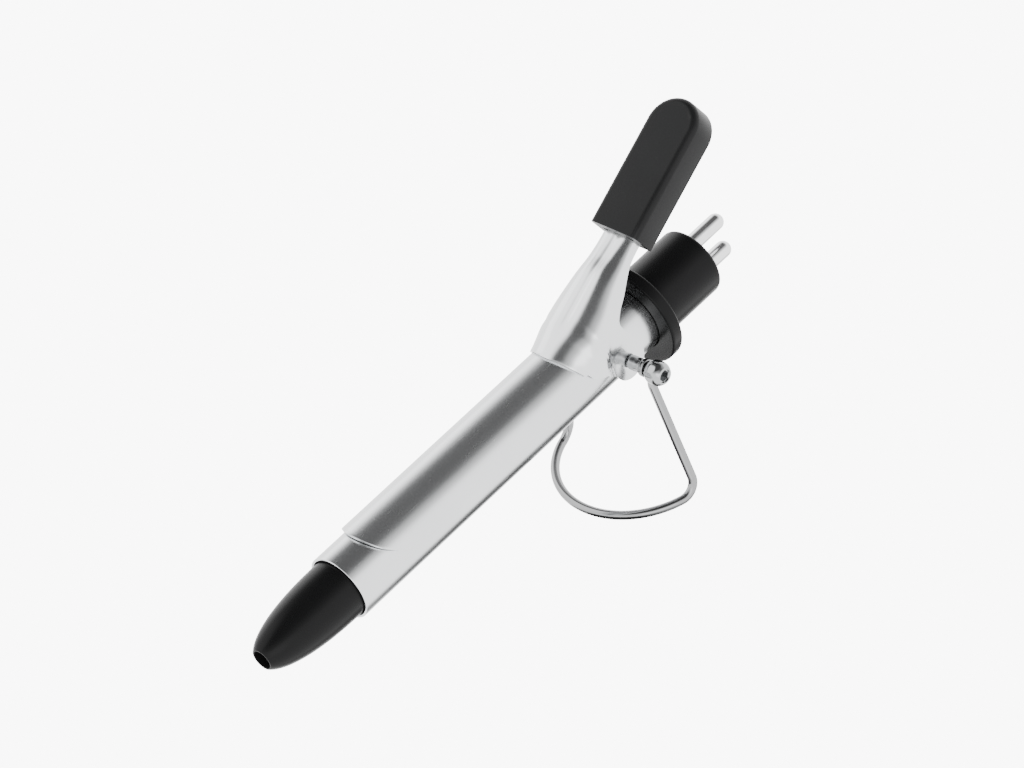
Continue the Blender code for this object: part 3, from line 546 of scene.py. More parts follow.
def smooth_line(knots, steps):
    """Points on a smooth curve through the knots, with the same number of steps between each two."""
    knots = [Vector(k) for k in knots]
    ends = [2 * knots[0] - knots[1]] + knots + [2 * knots[-1] - knots[-2]]
    line = []
    for a, b, c, d in zip(ends, ends[1:], ends[2:], ends[3:]):
        for step in range(steps):
            t = step / steps
            line.append(0.5 * (2 * b + (c - a) * t + (2 * a - 5 * b + 4 * c - d) * t ** 2
                               + (3 * b - a - 3 * c + d) * t ** 3))
    line.append(knots[-1])
    return line


def arc(middle, radius, start, end, steps):
    """Points on an arc from one angle to another, in degrees."""
    points = []
    for step in range(steps + 1):
        turn = math.radians(start + (end - start) * step / steps)
        points.append((middle[0] + radius * math.cos(turn), middle[1] + radius * math.sin(turn)))
    return points


def show(piece, body, node):
    """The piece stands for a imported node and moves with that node's body."""
    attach(piece, body)
    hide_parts(node)


# ---------------------------------------------------------------- geometry node trees

class Maker(Tree):
    """A geometry tree with named inputs, run once on an object."""

    def __init__(self, name):
        super().__init__(bpy.data.node_groups.new(name, "GeometryNodeTree"))
        self.tree.interface.new_socket("Geometry", in_out="OUTPUT", socket_type="NodeSocketGeometry")
        self.tree.interface.new_socket("Geometry", in_out="INPUT", socket_type="NodeSocketGeometry")
        self.source = self.nodes.new("NodeGroupInput")
        self.end = self.nodes.new("NodeGroupOutput")
        self.sockets = {}

    def value(self, name, default, kind="NodeSocketFloat"):
        """A named input of the tree, and the socket that carries it."""
        socket = self.tree.interface.new_socket(name, in_out="INPUT", socket_type=kind)
        if default is not None:
            socket.default_value = default
        self.sockets[name] = socket.identifier
        return self.source.outputs[name]

    def close(self, geometry):
        """Ends the tree with real instances in the tree's material."""
        finish = self.value("Finish", None, "NodeSocketMaterial")
        real = self.add("GeometryNodeRealizeInstances", {"Geometry": geometry}).outputs[0]
        smooth = self.add("GeometryNodeSetShadeSmooth", {"Geometry": real}).outputs[0]
        coloured = self.add("GeometryNodeSetMaterial", {"Geometry": smooth, "Material": finish}).outputs[0]
        self.tree.links.new(coloured, self.end.inputs["Geometry"])
        return self

    def run(self, piece, **values):
        step = piece.modifiers.new(self.tree.name, "NODES")
        step.node_group = self.tree
        for name, value in values.items():
            step[self.sockets[name.replace("_", " ").capitalize()]] = value
        return settle(piece)


def drawn_wire():
    """A round wire along the object's edges, as thick as its own share of the wire's radius."""
    maker = Maker("drawn_wire")
    radius = maker.value("Radius", 0.001)
    sides = maker.value("Sides", 24, "NodeSocketInt")
    line = maker.add("GeometryNodeMeshToCurve", {"Mesh": maker.source.outputs["Geometry"]}).outputs[0]
    share = maker.add("GeometryNodeInputNamedAttribute", {"Name": "thickness"}).outputs[0]
    ring = maker.add("GeometryNodeCurvePrimitiveCircle", {"Resolution": sides, "Radius": radius}).outputs[0]
    wire = maker.add("GeometryNodeCurveToMesh", {"Curve": line, "Profile Curve": ring, "Scale": share,
                                                 "Fill Caps": True}).outputs[0]
    return maker.close(wire)


def wound_wire():
    """A helix about the x axis."""
    maker = Maker("wound_wire")
    turns = maker.value("Turns", 10.0)
    coil = maker.value("Coil radius", 0.004)
    length = maker.value("Length", 0.05)
    wire = maker.value("Wire radius", 0.0003)
    start = maker.value("Start", (0.0, 0.0, 0.0), "NodeSocketVector")
    helix = maker.add("GeometryNodeCurveSpiral", {"Resolution": 48, "Rotations": turns, "Start Radius": coil,
                                                  "End Radius": coil, "Height": length}).outputs[0]
    lying = maker.add("GeometryNodeTransform", {"Geometry": helix, "Rotation": (0.0, math.pi / 2, 0.0),
                                                "Translation": start}).outputs[0]
    ring = maker.add("GeometryNodeCurvePrimitiveCircle", {"Resolution": 12, "Radius": wire}).outputs[0]
    coiled = maker.add("GeometryNodeCurveToMesh", {"Curve": lying, "Profile Curve": ring,
                                                   "Fill Caps": True}).outputs[0]
    return maker.close(coiled)


def curved_sheet():
    """The clamp's spoon: a flat grid with a rounded front lip, bent round the barrel and made thick."""
    maker = Maker("curved_sheet")
    start = maker.value("Start", (0.0, 0.0, 0.0), "NodeSocketVector")
    length = maker.value("Length", 0.08)
    lip = maker.value("Lip", 0.015)
    radius = maker.value("Radius", 0.01)
    half_angle = maker.value("Half angle", 1.3)
    thickness = maker.value("Thickness", 0.0008)
    grid = maker.add("GeometryNodeMeshGrid", {"Size X": 1.0, "Size Y": 2.0, "Vertices X": 97,
                                              "Vertices Y": 97}).outputs["Mesh"]
    place = maker.add("GeometryNodeInputPosition").outputs[0]
    parts = maker.add("ShaderNodeSeparateXYZ", {0: place}).outputs
    along = maker.math("ADD", parts[0], 0.5)
    across = maker.math("SINE", maker.math("MULTIPLY", parts[1], math.pi / 2))
    angle = maker.math("MULTIPLY", across, half_angle)
    square = maker.math("MULTIPLY", across, across)
    left_over = maker.math("MAXIMUM", maker.math("SUBTRACT", 1.0, square))
    drop = maker.math("SUBTRACT", 1.0, maker.math("SQRT", left_over))
    front = maker.math("MULTIPLY", drop, lip)
    rest = maker.math("MULTIPLY", maker.math("SUBTRACT", length, front), along)
    bent = maker.add("ShaderNodeCombineXYZ", {
        "X": maker.math("ADD", front, rest),
        "Y": maker.math("MULTIPLY", maker.math("SINE", angle), radius),
        "Z": maker.math("MULTIPLY", maker.math("COSINE", angle), radius),
    }).outputs[0]
    put = maker.add("ShaderNodeVectorMath", {0: bent, 1: start}, operation="ADD").outputs[0]
    shaped = maker.add("GeometryNodeSetPosition", {"Geometry": grid, "Position": put}).outputs[0]
    raised = maker.add("GeometryNodeExtrudeMesh", {"Mesh": shaped, "Offset Scale": thickness,
                                                   "Individual": False})
    under = maker.add("GeometryNodeFlipFaces", {"Mesh": shaped}).outputs[0]
    both = maker.add("GeometryNodeJoinGeometry")
    maker.tree.links.new(raised.outputs["Mesh"], both.inputs[0])
    maker.tree.links.new(under, both.inputs[0])
    joined = maker.add("GeometryNodeMergeByDistance", {"Geometry": both.outputs[0], "Distance": 1e-6})
    return maker.close(joined.outputs[0])


def line_object(name, path, shares=None):
    """A line of edges along a path in the barrel's frame, with each point's share of the wire's thickness."""
    mesh = bpy.data.meshes.new(name)
    mesh.from_pydata([tuple(world(p)) for p in path], [(i, i + 1) for i in range(len(path) - 1)], [])
    thickness = mesh.attributes.new("thickness", "FLOAT", "POINT")
    for index in range(len(path)):
        thickness.data[index].value = shares[index] if shares else 1.0
    return make_object(name, mesh)


# ---------------------------------------------------------------- barrel, nose and base

def build_barrel():
    """The tube. Rings of points close by the bores keep the shading of its long faces even."""
    seam = 60.0
    by_the_bores = [(PIVOT_X + step, BARREL_RADIUS, 0) for step in (-4, -3, -2.5, -2, 2, 2.5, 3, 4)]
    corners = [
        (seam, BARREL_BORE, 0), (0.0, BARREL_BORE, 0.3), (0.0, BARREL_RADIUS, 0.3), *by_the_bores,
        (BARREL_LENGTH, BARREL_RADIUS, 0.1), (BARREL_LENGTH, BARREL_BORE, 0.1),
        (seam + 0.5, BARREL_BORE, 0),
    ]
    barrel = solid("barrel", *turned(rounded(corners), along_x(), ROUND, ring=True), barrel_steel)
    reach = BARREL_RADIUS + 1
    cut(barrel, [rod("pivot_bore", along_y(1), -reach, reach, SHANK_RADIUS + FIT)])
    show(barrel, "head", "barrel_tube")


def nose_radius(distance):
    """Radius of the nose at a distance in front of the mouth."""
    return NOSE_RADIUS * (1 - (distance / NOSE_TAPER) ** NOSE_ROUNDNESS) ** NOSE_FULLNESS


def build_nose():
    steps = 48
    seat = NOSE_HOLE_DEPTH - NOSE_LENGTH
    tip = -NOSE_LENGTH
    outside = []
    for step in range(steps):
        share = math.sin(0.5 * math.pi * step / steps)
        outside.append((-NOSE_LENGTH * share, nose_radius(NOSE_LENGTH * share), 0))
    corners = [(0.0, NOSE_RADIUS, 0)] + outside[1:]
    corners += [(tip, nose_radius(NOSE_LENGTH), 0.22), (tip, NOSE_HOLE, 0.2), (seat, NOSE_HOLE, 0.2)]
    corners += [(seat, NOSE_SCREW_BORE, 0.1), (NOSE_SPIGOT, NOSE_SCREW_BORE, 0.1)]
    corners += [(NOSE_SPIGOT, NOSE_RADIUS, 0.4), (1.0, NOSE_RADIUS, 0)]
    nose = solid("nose", *turned(rounded(corners), along_x(), ROUND, ring=True), nose_black)
    show(nose, "head", "nose_cap")


def build_plug():
    seat_end = BARREL_LENGTH + FIT
    seat_radius = BARREL_RADIUS + FIT
    corners = [
        (PLUG_END, 0.0, 0), (PLUG_END, PLUG_RADIUS, 1.3), (FLANGE_REAR, PLUG_RADIUS, 0.35),
        (FLANGE_REAR, FLANGE_RADIUS, 0.8), (FLANGE_FRONT, FLANGE_RADIUS, 0.8),
        (FLANGE_FRONT, seat_radius, 0.2), (seat_end, seat_radius, 0), (seat_end, CAVITY_RADIUS, 0.1),
        (CAVITY_END, CAVITY_RADIUS, 0.5), (CAVITY_END, 0.0, 0),
    ]
    plug = solid("plug", *turned(rounded(corners, 8), along_x(), ROUND), plug_black)
    holes = []
    for name, up in (("upper", PIN_HEIGHT), ("lower", -PIN_HEIGHT)):
        holes.append(rod("pin_bore_" + name, along_x(up), CAVITY_END - 1, PLUG_END + 1, PIN_RADIUS + FIT))
    cut(plug, holes)
    plug.data.shade_smooth()
    plug.data.set_sharp_from_angle(angle=math.radians(30))
    show(plug, "head", "base_plug")


def build_pins():
    collar_thickness = 1.5
    collar_radius = 3.38
    stud_radius = 1.5
    collar = CAVITY_END - FIT - collar_thickness
    collar_rear = collar + collar_thickness
    stud_end = collar - 7.0
    corners = [
        (stud_end, 0.0, 0), (stud_end, stud_radius, 0.3), (collar, stud_radius, 0.1),
        (collar, collar_radius, 0.2), (collar_rear, collar_radius, 0.2), (collar_rear, PIN_RADIUS, 0.1),
    ]
    dome = [(d, r, 0) for d, r in arc((PIN_END - PIN_RADIUS, 0.0), PIN_RADIUS, 90, 0, 16)]
    dome[-1] = (PIN_END, 0.0, 0)
    profile = rounded(corners + dome)
    for name, up in (("upper", PIN_HEIGHT), ("lower", -PIN_HEIGHT)):
        pin = solid("pin_" + name, *turned(profile, along_x(up), SMALL_ROUND), pin_plate)
        show(pin, "head", "contact_pin_" + name)


# ---------------------------------------------------------------- clamp

def build_spoon():
    blank = make_object("spoon", bpy.data.meshes.new("spoon"))
    spoon = curved_sheet().run(
        blank, start=tuple(world((SPOON_START, 0.0, 0.0))), length=(SPOON_END - SPOON_START) * MM,
        lip=SPOON_LIP * MM, radius=SPOON_INNER * MM, half_angle=SPOON_HALF_ANGLE,
        thickness=SPOON_SHEET * MM, finish=clamp_steel,
    )
    ease_edges(spoon, 0.3, 3, 50.0)
    show(spoon, "clamp", "clamp_spoon")


def pad_point(along, up):
    """x and z of a point given along and above the pad's underside, from its lower front edge."""
    x = PAD_X + along * math.cos(PAD_TILT) - up * math.sin(PAD_TILT)
    z = PAD_Z + along * math.sin(PAD_TILT) + up * math.cos(PAD_TILT)
    return x, z


def lever_stations():
    """(x, half width at the shoulders, height of the shoulders, height of the top) along the lever."""
    neck_x, neck_top = pad_point(0.0, NECK_TOP)
    tang_x, tang_top = pad_point(TANG_LENGTH, NECK_TOP)
    shoulder = NECK_DEPTH * 0.8
    wide = SKIRT_HALF_WIDTH
    narrowing = EAR_INNER - NECK_HALF_WIDTH
    over_pivot = wide + HOOD_RISE
    return [
        (SKIRT_START, FLUSH_RADIUS, 0.0, FLUSH_RADIUS),
        (SKIRT_START + 0.8, FLUSH_RADIUS + 0.1, 0.2, FLUSH_RADIUS + 0.5),
        (SKIRT_START + 4.4, wide, 1.0, wide + 1.6),
        (SPOON_END - 0.6, wide - 0.1, 3.5, wide + 3.3),
        (SPOON_END + 3.0, wide - 0.8, 6.3, wide + 5.0),
        (PIVOT_X - 2.0, EAR_INNER - 0.7, 9.8, over_pivot),
        (PIVOT_X + 5.0, NECK_HALF_WIDTH + 0.53 * narrowing, 15.2, over_pivot + 3.6),
        (PIVOT_X + 11.0, NECK_HALF_WIDTH + 0.2 * narrowing, neck_top - shoulder - 5.0, neck_top - 2.7),
        (neck_x, NECK_HALF_WIDTH, neck_top - shoulder, neck_top),
        (tang_x, NECK_HALF_WIDTH, tang_top - shoulder, tang_top),
    ]


def eased(value):
    value = min(max(value, 0.0), 1.0)
    return value * value * (3 - 2 * value)


def lower_half_width(x):
    """Half width between the lever's walls at the barrel: by the spoon, then the skirt's, then the ears'."""
    skirt = FLUSH_RADIUS + (SKIRT_HALF_WIDTH - FLUSH_RADIUS) * eased((x - SKIRT_START) / 5.0)
    return skirt + (EAR_INNER - skirt) * eased((x - SPOON_END + 1.0) / 4.0)


def lever_section(x, half_width, shoulder, top):
    """(y, z) points over the lever at x, from the near wall's lower end to the far one's."""
    low = -(EAR_RADIUS + 2)
    wall = lower_half_width(x)
    wall_top = min(EAR_RADIUS + 1.5, shoulder * 0.6)
    upper = min(half_width, wall)
    crease = CREASE_DEPTH * eased((x - SPOON_END + 5.0) / 9.0)
    near = [(-wall, low + (wall_top - low) * step / WALL_STEPS) for step in range(WALL_STEPS)]
    for share in (0.0, 0.2, 0.4, 0.6, 0.8):
        near.append((-wall + (wall - upper) * eased(share), wall_top + (shoulder - wall_top) * share))
    dome = []
    for step in range(DOME_STEPS + 1):
        turn = math.pi * (1 - step / DOME_STEPS)
        y = upper * math.cos(turn)
        z = shoulder + (top - shoulder) * math.sin(turn)
        dome.append((y, z - crease * math.exp(-(y / CREASE_WIDTH) ** 2)))
    return near + dome + [(-y, z) for y, z in near[::-1]]


def station_at(stations, x):
    """Half width, shoulder and top at any x, read off a fine line of stations."""
    before = max((s for s in stations if s[0] <= x), key=lambda s: s[0], default=stations[0])
    after = min((s for s in stations if s[0] > x), key=lambda s: s[0], default=stations[-1])
    gap = after[0] - before[0]
    share = (x - before[0]) / gap if gap > 0 else 0.0
    return [before[i] + (after[i] - before[i]) * share for i in (1, 2, 3)]


def lever_front(y, z):
    """x of the lever's front edge where its surface passes (y, z): furthest forward at the top."""
    angle = min(math.degrees(math.atan2(abs(y), max(z, 0.01))), FRONT_LAST_ANGLE)
    return SKIRT_START + FRONT_SWEEP * (angle / FRONT_LAST_ANGLE) ** FRONT_CURVE


def lever_grid():
    """The inside of the lever's sheet as rows of points, from its front edge back to the end of its tang."""
    stations = [tuple(s) for s in smooth_line(lever_stations(), 40)]
    over_spoon = SPOON_END - 6.0
    guide = lever_section(over_spoon, *station_at(stations, over_spoon))
    starts = [lever_front(y, z) for y, z in guide]
    ear_blend = 1.2
    end = stations[-1][0]
    grid = []
    for row in range(LEVER_ROWS + 1):
        share = row / LEVER_ROWS
        line = []
        for column, start in enumerate(starts):
            x = start + (end - start) * share ** ROWS_CROWD_FORWARD
            rising = x - (start - SKIRT_START) * (1 - eased((x - start) / HOOD_FRONT))
            y, z = lever_section(rising, *station_at(stations, rising))[column]
            out = boss(x, z) * eased(abs(y) - EAR_INNER + ear_blend)
            line.append(Vector((x, y + math.copysign(out, y), z)))
        grid.append(line)
    return grid


def boss(x, z):
    """How far the raised ring round the pivot stands out of the ear."""
    distance = math.hypot(x - PIVOT_X, z)
    return BOSS_RISE * (1 - eased((distance - BOSS_RADIUS) / BOSS_RUN_OUT))


def lever_outline():
    """The lever seen from the side: skirt's front edge, ear, rear edge and tang, as (x, z) points."""
    front_knots = [(4.4, 6.0), (5.4, 4.2), (7.2, 3.1), (9.4, 2.4)]
    rear_knots = [(2.9, 6.9), (1.4, 11.5), (3.2, 14.6), (8.2, 18.0), (12.6, 21.8)]
    front = smooth_line([(SKIRT_START + x, z) for x, z in front_knots], 16)
    ear = arc((PIVOT_X, 0.0), EAR_RADIUS, 195, 390, 80)
    neck_low = pad_point(0.0, NECK_TOP - NECK_DEPTH)
    rear = smooth_line([(PIVOT_X + x, z) for x, z in rear_knots] + [neck_low], 16)
    tang_low = pad_point(TANG_LENGTH, NECK_TOP - NECK_DEPTH)
    tang_high = pad_point(TANG_LENGTH, 2 * PAD_THICKNESS)
    lower = [tuple(p) for p in front] + ear + [tuple(p) for p in rear]
    return lower + [tang_low, tang_high, (SKIRT_START - 5.0, tang_high[1]), (SKIRT_START - 5.0, 6.0)]


def moved_out(grid, distance):
    """The same grid moved outwards along its own normals."""
    rows = len(grid)
    columns = len(grid[0])
    moved = []
    for row in range(rows):
        line = []
        for column in range(columns):
            along = grid[min(row + 1, rows - 1)][column] - grid[max(row - 1, 0)][column]
            across = grid[row][min(column + 1, columns - 1)] - grid[row][max(column - 1, 0)]
            line.append(grid[row][column] + along.cross(across).normalized() * distance)
        moved.append(line)
    return moved


def build_lever():
    inner = lever_grid()
    outer = moved_out(inner, LEVER_SHEET)
    lever = solid("lever", *sheet(inner, outer), lever_steel)
    outline = solid("lever_outline", *side_prism(lever_outline(), SKIRT_HALF_WIDTH + 4), None)
    cut(lever, [outline], "INTERSECT")
    reach = SKIRT_HALF_WIDTH + 6
    cut(lever, [rod("ear_bore", along_y(1), -reach, reach, EAR_HOLE)])
    lever.data.shade_smooth()
    lever.data.set_sharp_from_angle(angle=math.radians(40))
    show(lever, "clamp", "clamp_lever")


def pad_ring(up, inset):
    """The pad's outline at a height over its underside: square front, round rear."""
    half = PAD_WIDTH / 2 - inset
    middle = PAD_LENGTH - PAD_WIDTH / 2
    flat = [(0.0, half), (0.0, 0.0), (0.0, -half)]
    flat += [(middle * step / 6, -half) for step in range(1, 6)]
    flat += arc((middle, 0.0), half, -90, 90, 48)
    flat += [(middle * (6 - step) / 6, half) for step in range(1, 6)]
    ring = []
    for along, across in flat:
        x, z = pad_point(along, up)
        ring.append((x, across, z))
    return ring


def build_pad():
    lower_round = 0.6
    rings = []
    for turn in (0.0, 0.4, 0.8, 1.2, math.pi / 2):
        rings.append(pad_ring(lower_round * (1 - math.cos(turn)), lower_round * (1 - math.sin(turn))))
    steps = 12
    for step in range(steps + 1):
        turn = 0.5 * math.pi * step / steps
        up = PAD_THICKNESS - PAD_FILLET * (1 - math.sin(turn))
        rings.append(pad_ring(up, PAD_FILLET * (1 - math.cos(turn))))
    pad = solid("pad", *lofted(rings), pad_black)
    low = NECK_TOP - NECK_DEPTH - FIT
    high = NECK_TOP + FIT
    corners = [pad_point(-3.0, low), pad_point(TANG_LENGTH + FIT, low),
               pad_point(TANG_LENGTH + FIT, high), pad_point(-3.0, high)]
    cut(pad, [solid("tang_slot", *side_prism(corners, NECK_HALF_WIDTH + FIT), None)])
    ease_edges(pad, 0.16, 3, 50.0, 50.0)
    show(pad, "clamp", "thumb_pad")


def build_spring():
    """A leaf from the lever's underside, bent back to press on the barrel in front of the pivot."""
    strip = 0.4
    half = 2.5
    rest = BARREL_RADIUS + FIT + strip / 2
    seat = SKIRT_HALF_WIDTH + HOOD_RISE - LEVER_SHEET - CREASE_DEPTH - FIT - strip / 2
    arm_knots = [(-7.5, seat - 3.0), (-3.0, seat - 0.7), (1.5, seat - 0.2)]
    bend_knots = [(3.6, seat - 2.4), (1.5, seat - 4.6)]
    foot_knots = [(-3.5, rest + 1.2), (-6.0, rest), (-8.5, rest + 1.2)]
    line = smooth_line([(PIVOT_X + x, z) for x, z in arm_knots + bend_knots + foot_knots], 14)
    walls = ([], [])
    for index, point in enumerate(line):
        before = line[max(index - 1, 0)]
        after = line[min(index + 1, len(line) - 1)]
        heading = (after - before).normalized()
        normal = Vector((-heading.y, heading.x))
        for wall, side in zip(walls, (0.5, -0.5)):
            x, z = point + normal * strip * side
            wall.append([(x, half * share, z) for share in (-1.0, -0.5, 0.0, 0.5, 1.0)])
    spring = solid("spring", *sheet(*walls), plain_steel)
    ease_edges(spring, 0.08, 2, 50.0)
    show(spring, "clamp", "clamp_spring")


# ---------------------------------------------------------------- pivot screws and stand

def build_near_screw():
    socket_radius = 1.75
    socket_mouth = HEAD_END - 0.5
    socket_bottom = HEAD_END - 2.5
    head_flank = GROOVE_END + 1.7
    corners = [
        (SCREW_START, 0.0, 0), (SCREW_START, SHANK_RADIUS, 0.2), (COLLAR_START, SHANK_RADIUS, 0.1),
        (COLLAR_START, COLLAR_RADIUS, 0.35), (COLLAR_END, COLLAR_RADIUS, 0.35),
        (COLLAR_END, SHANK_RADIUS, 0.1), (GROOVE_END, SHANK_RADIUS, 0.1), (GROOVE_END, 2.2, 0.3),
        (head_flank, HEAD_RADIUS, 0.9), (HEAD_END - 1.5, HEAD_RADIUS, 0.9), (HEAD_END, 2.4, 0.3),
        (HEAD_END, 2.0, 0.1), (socket_mouth, socket_radius, 0), (socket_mouth, 0.0, 0),
    ]
    screw = solid("near_screw", *turned(rounded(corners, 8), along_y(-1), SMALL_ROUND), screw_chrome)
    socket = [(socket_bottom, 0.0), (socket_bottom, socket_radius), (HEAD_END + 1, socket_radius),
              (HEAD_END + 1, 0.0)]
    cut(screw, [solid("hexagon_socket", *turned(socket, along_y(-1), 6), None)])
    screw.data.shade_smooth()
    screw.data.set_sharp_from_angle(angle=math.radians(30))
    show(screw, "head", "pivot_screw_near")


def build_far_screw():
    corners = [
        (SCREW_START, 0.0, 0), (SCREW_START, SHANK_RADIUS, 0.2), (FAR_HEAD, SHANK_RADIUS, 0.1),
        (FAR_HEAD, HEAD_RADIUS, 0.8), (FAR_HEAD_END, HEAD_RADIUS, 1.4), (FAR_HEAD_END, 0.0, 0),
    ]
    screw = solid("far_screw", *turned(rounded(corners, 8), along_y(1), SMALL_ROUND), screw_chrome)
    slot_half = 0.45
    bar_half = 0.5
    sunk = 0.2
    front = PIVOT_X - 5
    rear = PIVOT_X + 5
    outline = [(front, -slot_half), (rear, -slot_half), (rear, slot_half), (front, slot_half)]
    bar_points, bar_faces = side_prism(outline, bar_half)
    lifted = [(x, y + FAR_HEAD_END - sunk, z) for x, y, z in bar_points]
    cut(screw, [solid("screw_slot", lifted, bar_faces, None)])
    screw.data.shade_smooth()
    screw.data.set_sharp_from_angle(angle=math.radians(30))
    show(screw, "head", "pivot_screw_far")


def bend(start, corner, end, steps):
    """A curve that rounds off a corner between two points on the runs that meet there."""
    tightness = 0.55
    first = start + (corner - start) * tightness
    last = end + (corner - end) * tightness
    points = []
    for step in range(steps + 1):
        t = step / steps
        s = 1 - t
        points.append(s ** 3 * start + 3 * s * s * t * first + 3 * s * t * t * last + t ** 3 * end)
    return points


def foot_point(turn):
    """A point on the foot's circle, with turn counted from its foremost point, in the middle plane."""
    middle = Vector((PIVOT_X + FOOT_SET_BACK, 0.0, -STAND_DROP))
    return middle + FOOT_RADIUS * Vector((-math.cos(turn), math.sin(turn), 0.0))


def stand_side(side, eye_middle):
    """The wire from an eye down to the foot's arc, each point with its share of the thickness."""
    top = Vector((PIVOT_X, side * eye_middle, -(EYE_BORE + EYE_RADIUS) / 2))
    corner_turn = math.acos(FOOT_SET_BACK / FOOT_RADIUS)
    corner = foot_point(side * corner_turn)
    down = (corner - top).normalized()
    neck = EYE_NECK / WIRE_RADIUS
    run = []
    steps = 12
    for step in range(steps + 1):
        share = step / steps
        run.append((top + down * EYE_TAPER * share, neck + (1 - neck) * eased(share * 1.4 - 0.4)))
    leg_end = corner - down * FOOT_BEND
    foot_turn = corner_turn - FOOT_BEND / FOOT_RADIUS
    run += [(p, 1.0) for p in bend(leg_end, corner, foot_point(side * foot_turn), 24)]
    return run, foot_turn


def build_stand():
    near_middle = (COLLAR_END + GROOVE_END) / 2
    far_middle = FAR_EYE + EYE_THICKNESS / 2
    near, foot_turn = stand_side(-1, near_middle)
    far, _ = stand_side(1, far_middle)
    steps = 120
    foot = [(foot_point(foot_turn * (2 * step / steps - 1)), 1.0) for step in range(1, steps)]
    run = near + foot + far[::-1]
    stand = line_object("stand", [p for p, _ in run], [share for _, share in run])
    stand = drawn_wire().run(stand, radius=WIRE_RADIUS * MM, sides=32, finish=stand_chrome)
    eyes = []
    for name, side, centre in (("near", -1, near_middle), ("far", 1, far_middle)):
        low = centre - EYE_THICKNESS / 2
        high = centre + EYE_THICKNESS / 2
        corners = [
            (centre, EYE_BORE, 0), (low, EYE_BORE, 0.25), (low, EYE_RADIUS, 0.35),
            (high, EYE_RADIUS, 0.35), (high, EYE_BORE, 0.25), (centre + 0.1, EYE_BORE, 0),
        ]
        ring = turned(rounded(corners, 8), along_y(side), SMALL_ROUND, ring=True)
        eyes.append(solid("eye_" + name, *ring, stand_chrome))
    cut(stand, eyes, "UNION")
    bores = []
    for name, side, centre in (("near", -1, near_middle), ("far", 1, far_middle)):
        bores.append(rod("eye_bore_" + name, along_y(side), centre - 2, centre + 2, EYE_BORE))
    cut(stand, bores)
    stand.data.shade_smooth()
    stand.data.set_sharp_from_angle(angle=math.radians(35))
    show(stand, "stand", "stand_wire")


# ---------------------------------------------------------------- heater and leads

def build_winding():
    low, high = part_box("heater_winding")
    wire = 0.35
    pitch = 5.2
    length = (high.x - low.x) / MM - 2 * wire
    blank = make_object("winding", bpy.data.meshes.new("winding"))
    winding = wound_wire().run(
        blank, turns=length / pitch, coil_radius=(high.y - low.y) / 2 - wire * MM, length=length * MM,
        wire_radius=wire * MM, start=(low.x + wire * MM, 0.0, MOUTH.z), finish=resistance_wire,
    )
    show(winding, "head", "heater_winding")


CARRIED_OVER = {
    "nose_screw": plain_steel, "nose_nut": plain_steel, "pivot_nut_near": plain_steel,
    "pivot_nut_far": plain_steel, "stand_washer_far": plain_steel, "thermal_fuse": fuse_tin,
    "pin_nut_upper": turned_brass, "pin_nut_lower": turned_brass, "solder_tag_upper": turned_brass,
    "solder_tag_lower": turned_brass, "front_bush": ceramic, "rear_bush": ceramic, "heater_former": ceramic,
    "mica_sleeve": mica, "heat_spreader_upper": spreader_aluminium, "heat_spreader_lower": spreader_aluminium,
    "fuse_lead": red_cover, "live_lead": red_cover, "neutral_lead": white_cover,
}


def finish_carried_over():
    for name, finish in CARRIED_OVER.items():
        node = frame["nodes"][name]
        node.data.materials.clear()
        node.data.materials.append(finish)


# ---------------------------------------------------------------- room, light and camera

ROOM_BRIGHTNESS = 3.0
FLOOR_BRIGHTNESS = 9.0
# Where and how large the floor's painted shadow under the barrel is, in metres.
SHADE_MIDDLE = (0.012, -0.011, 0.0)
SHADE_LENGTH = 0.13
SHADE_WIDTH = 0.019
CEILING_WAY = (0.10, 0.08, 0.99)
SOFTBOX_WAY = (-0.38, 0.64, 0.66)


def build_room():
    """A pale floor that looks evenly bright to the camera, with a painted shadow close under the barrel that
    only the metal's reflections see.
    """
    mesh = bpy.data.meshes.new("floor")
    reach = 6.0
    mesh.from_pydata([(-reach, -reach, 0), (reach, -reach, 0), (reach, reach, 0), (-reach, reach, 0)], [],
                     [(0, 1, 2, 3)])
    paper = bpy.data.materials.new("pale_floor")
    paper.use_nodes = True
    tree = Tree(paper.node_tree)
    tree.nodes.remove(tree.nodes["Principled BSDF"])
    place = tree.add("ShaderNodeTexCoord").outputs["Object"]
    centred = tree.add("ShaderNodeVectorMath", {0: place, 1: SHADE_MIDDLE}, operation="SUBTRACT").outputs[0]
    shade = stretched(tree, centred, (1 / SHADE_LENGTH, 1 / SHADE_WIDTH, 0.0))
    distance = tree.add("ShaderNodeVectorMath", {0: shade}, operation="LENGTH").outputs["Value"]
    # Painted shadow: the floor is darkest in an oval under the barrel, for the metal to reflect.
    painted_shadow = tree.ramp(distance, [(0.35, 0.03), (0.75, 0.35), (1.0, 1.0)])
    reflected = tree.add("ShaderNodeEmission", {"Color": painted_shadow, "Strength": ROOM_BRIGHTNESS}).outputs[0]
    white = (1.0, 1.0, 1.0, 1.0)
    seen = tree.add("ShaderNodeEmission", {"Color": white, "Strength": FLOOR_BRIGHTNESS}).outputs[0]
    straight = tree.add("ShaderNodeLightPath").outputs["Is Camera Ray"]
    both = tree.add("ShaderNodeMixShader", {0: straight, 1: reflected, 2: seen}).outputs[0]
    tree.tree.links.new(both, tree.nodes["Material Output"].inputs["Surface"])
    mesh.materials.append(paper)
    floor = make_object("floor", mesh)


def facing(tree, towards, way):
    """How far a direction points along a way: 1 straight along it."""
    along = tuple(Vector(way).normalized())
    return tree.add("ShaderNodeVectorMath", {0: towards, 1: along}, operation="DOT_PRODUCT").outputs["Value"]


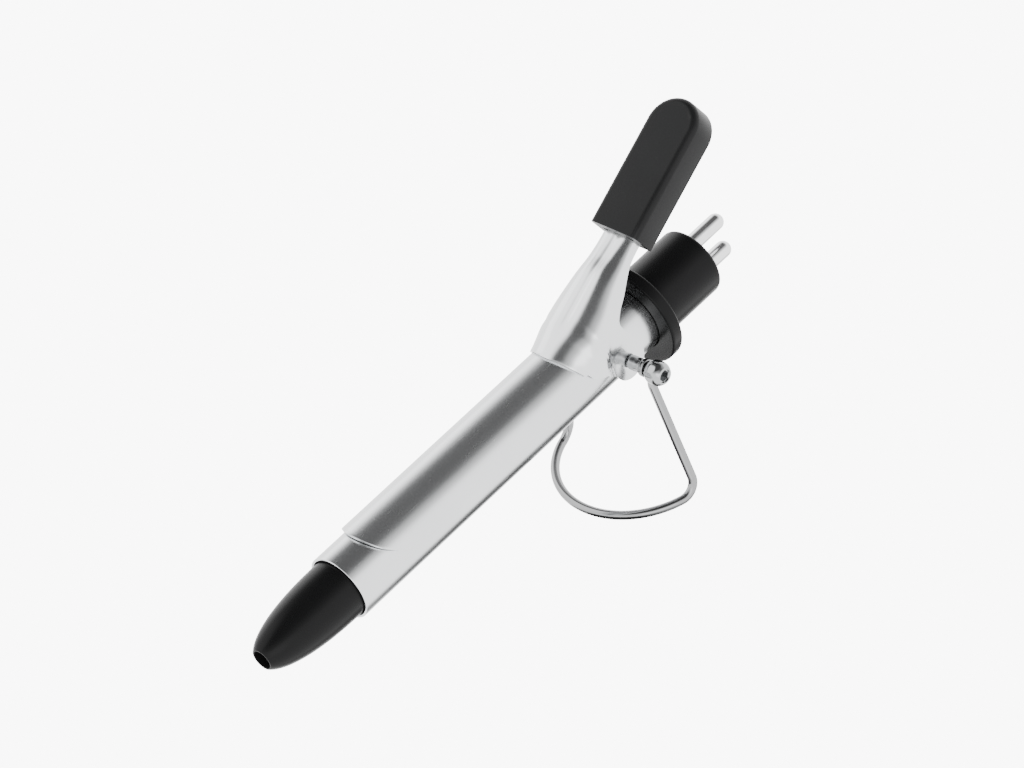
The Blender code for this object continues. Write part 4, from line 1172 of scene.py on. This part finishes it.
def build_sky():
    """Soft light from all round and from a softbox behind, with a dark ceiling for the metal to reflect."""
    sky = bpy.data.worlds.new("studio")
    bpy.context.scene.world = sky
    sky.use_nodes = True
    tree = Tree(sky.node_tree)
    towards = tree.add("ShaderNodeTexCoord").outputs["Generated"]
    to_ceiling = facing(tree, towards, CEILING_WAY)
    to_softbox = facing(tree, towards, SOFTBOX_WAY)
    room = tree.ramp(to_ceiling, [(0.42, 1.0), (0.68, 0.35), (0.84, 0.05)])
    softbox = tree.ramp(to_softbox, [(0.78, 0.0), (0.94, 1.1)])
    glow = tree.math("MAXIMUM", room, softbox)
    tree.tree.links.new(glow, tree.nodes["Background"].inputs["Color"])
    tree.nodes["Background"].inputs["Strength"].default_value = ROOM_BRIGHTNESS


def build_light(name, place, aim, width, height, power):
    """A rectangular lamp that points at aim, in metres and watts."""
    light = bpy.data.lights.new(name, "AREA")
    light.shape = "RECTANGLE"
    light.size = width
    light.size_y = height
    light.energy = power
    lamp = bpy.data.objects.new(name, light)
    lamp.location = place
    lamp.rotation_euler = (Vector(aim) - Vector(place)).to_track_quat("-Z", "Y").to_euler()
    bpy.context.scene.collection.objects.link(lamp)


def build_camera():
    """Looks down from the near side, in front of the nose, and is rolled to one side."""
    azimuth = math.radians(35.822)
    elevation = math.radians(40.430)
    roll = math.radians(17.619)
    distance = 1.414
    aim = Vector((0.012817, 0.006704, 0.050439))
    back = Vector((-math.sin(azimuth) * math.cos(elevation), -math.cos(azimuth) * math.cos(elevation),
                   math.sin(elevation)))
    level = Vector((0.0, 0.0, 1.0)).cross(back).normalized()
    upright = back.cross(level)
    right = level * math.cos(roll) - upright * math.sin(roll)
    up = back.cross(right)
    view = bpy.data.cameras.new("camera")
    view.lens = 182.64
    view.sensor_width = 36.0
    view.clip_start = 0.05
    view.clip_end = 50.0
    camera = bpy.data.objects.new("camera", view)
    camera.location = aim + back * distance
    camera.rotation_mode = "QUATERNION"
    camera.rotation_quaternion = Matrix((right, up, back)).transposed().to_quaternion()
    bpy.context.scene.collection.objects.link(camera)
    bpy.context.scene.camera = camera


build_barrel()
build_nose()
build_plug()
build_pins()
build_spoon()
build_lever()
build_pad()
build_spring()
build_near_screw()
build_far_screw()
build_stand()
build_winding()
finish_carried_over()
build_room()
build_sky()
build_light("near_softbox", (-0.9, -1.3, 0.7), (0.0, 0.0, 0.05), 1.2, 0.9, 4.0)
build_light("rear_softbox", (0.5, 1.5, 0.7), (0.0, 0.0, 0.05), 1.6, 0.8, 4.0)
build_camera()
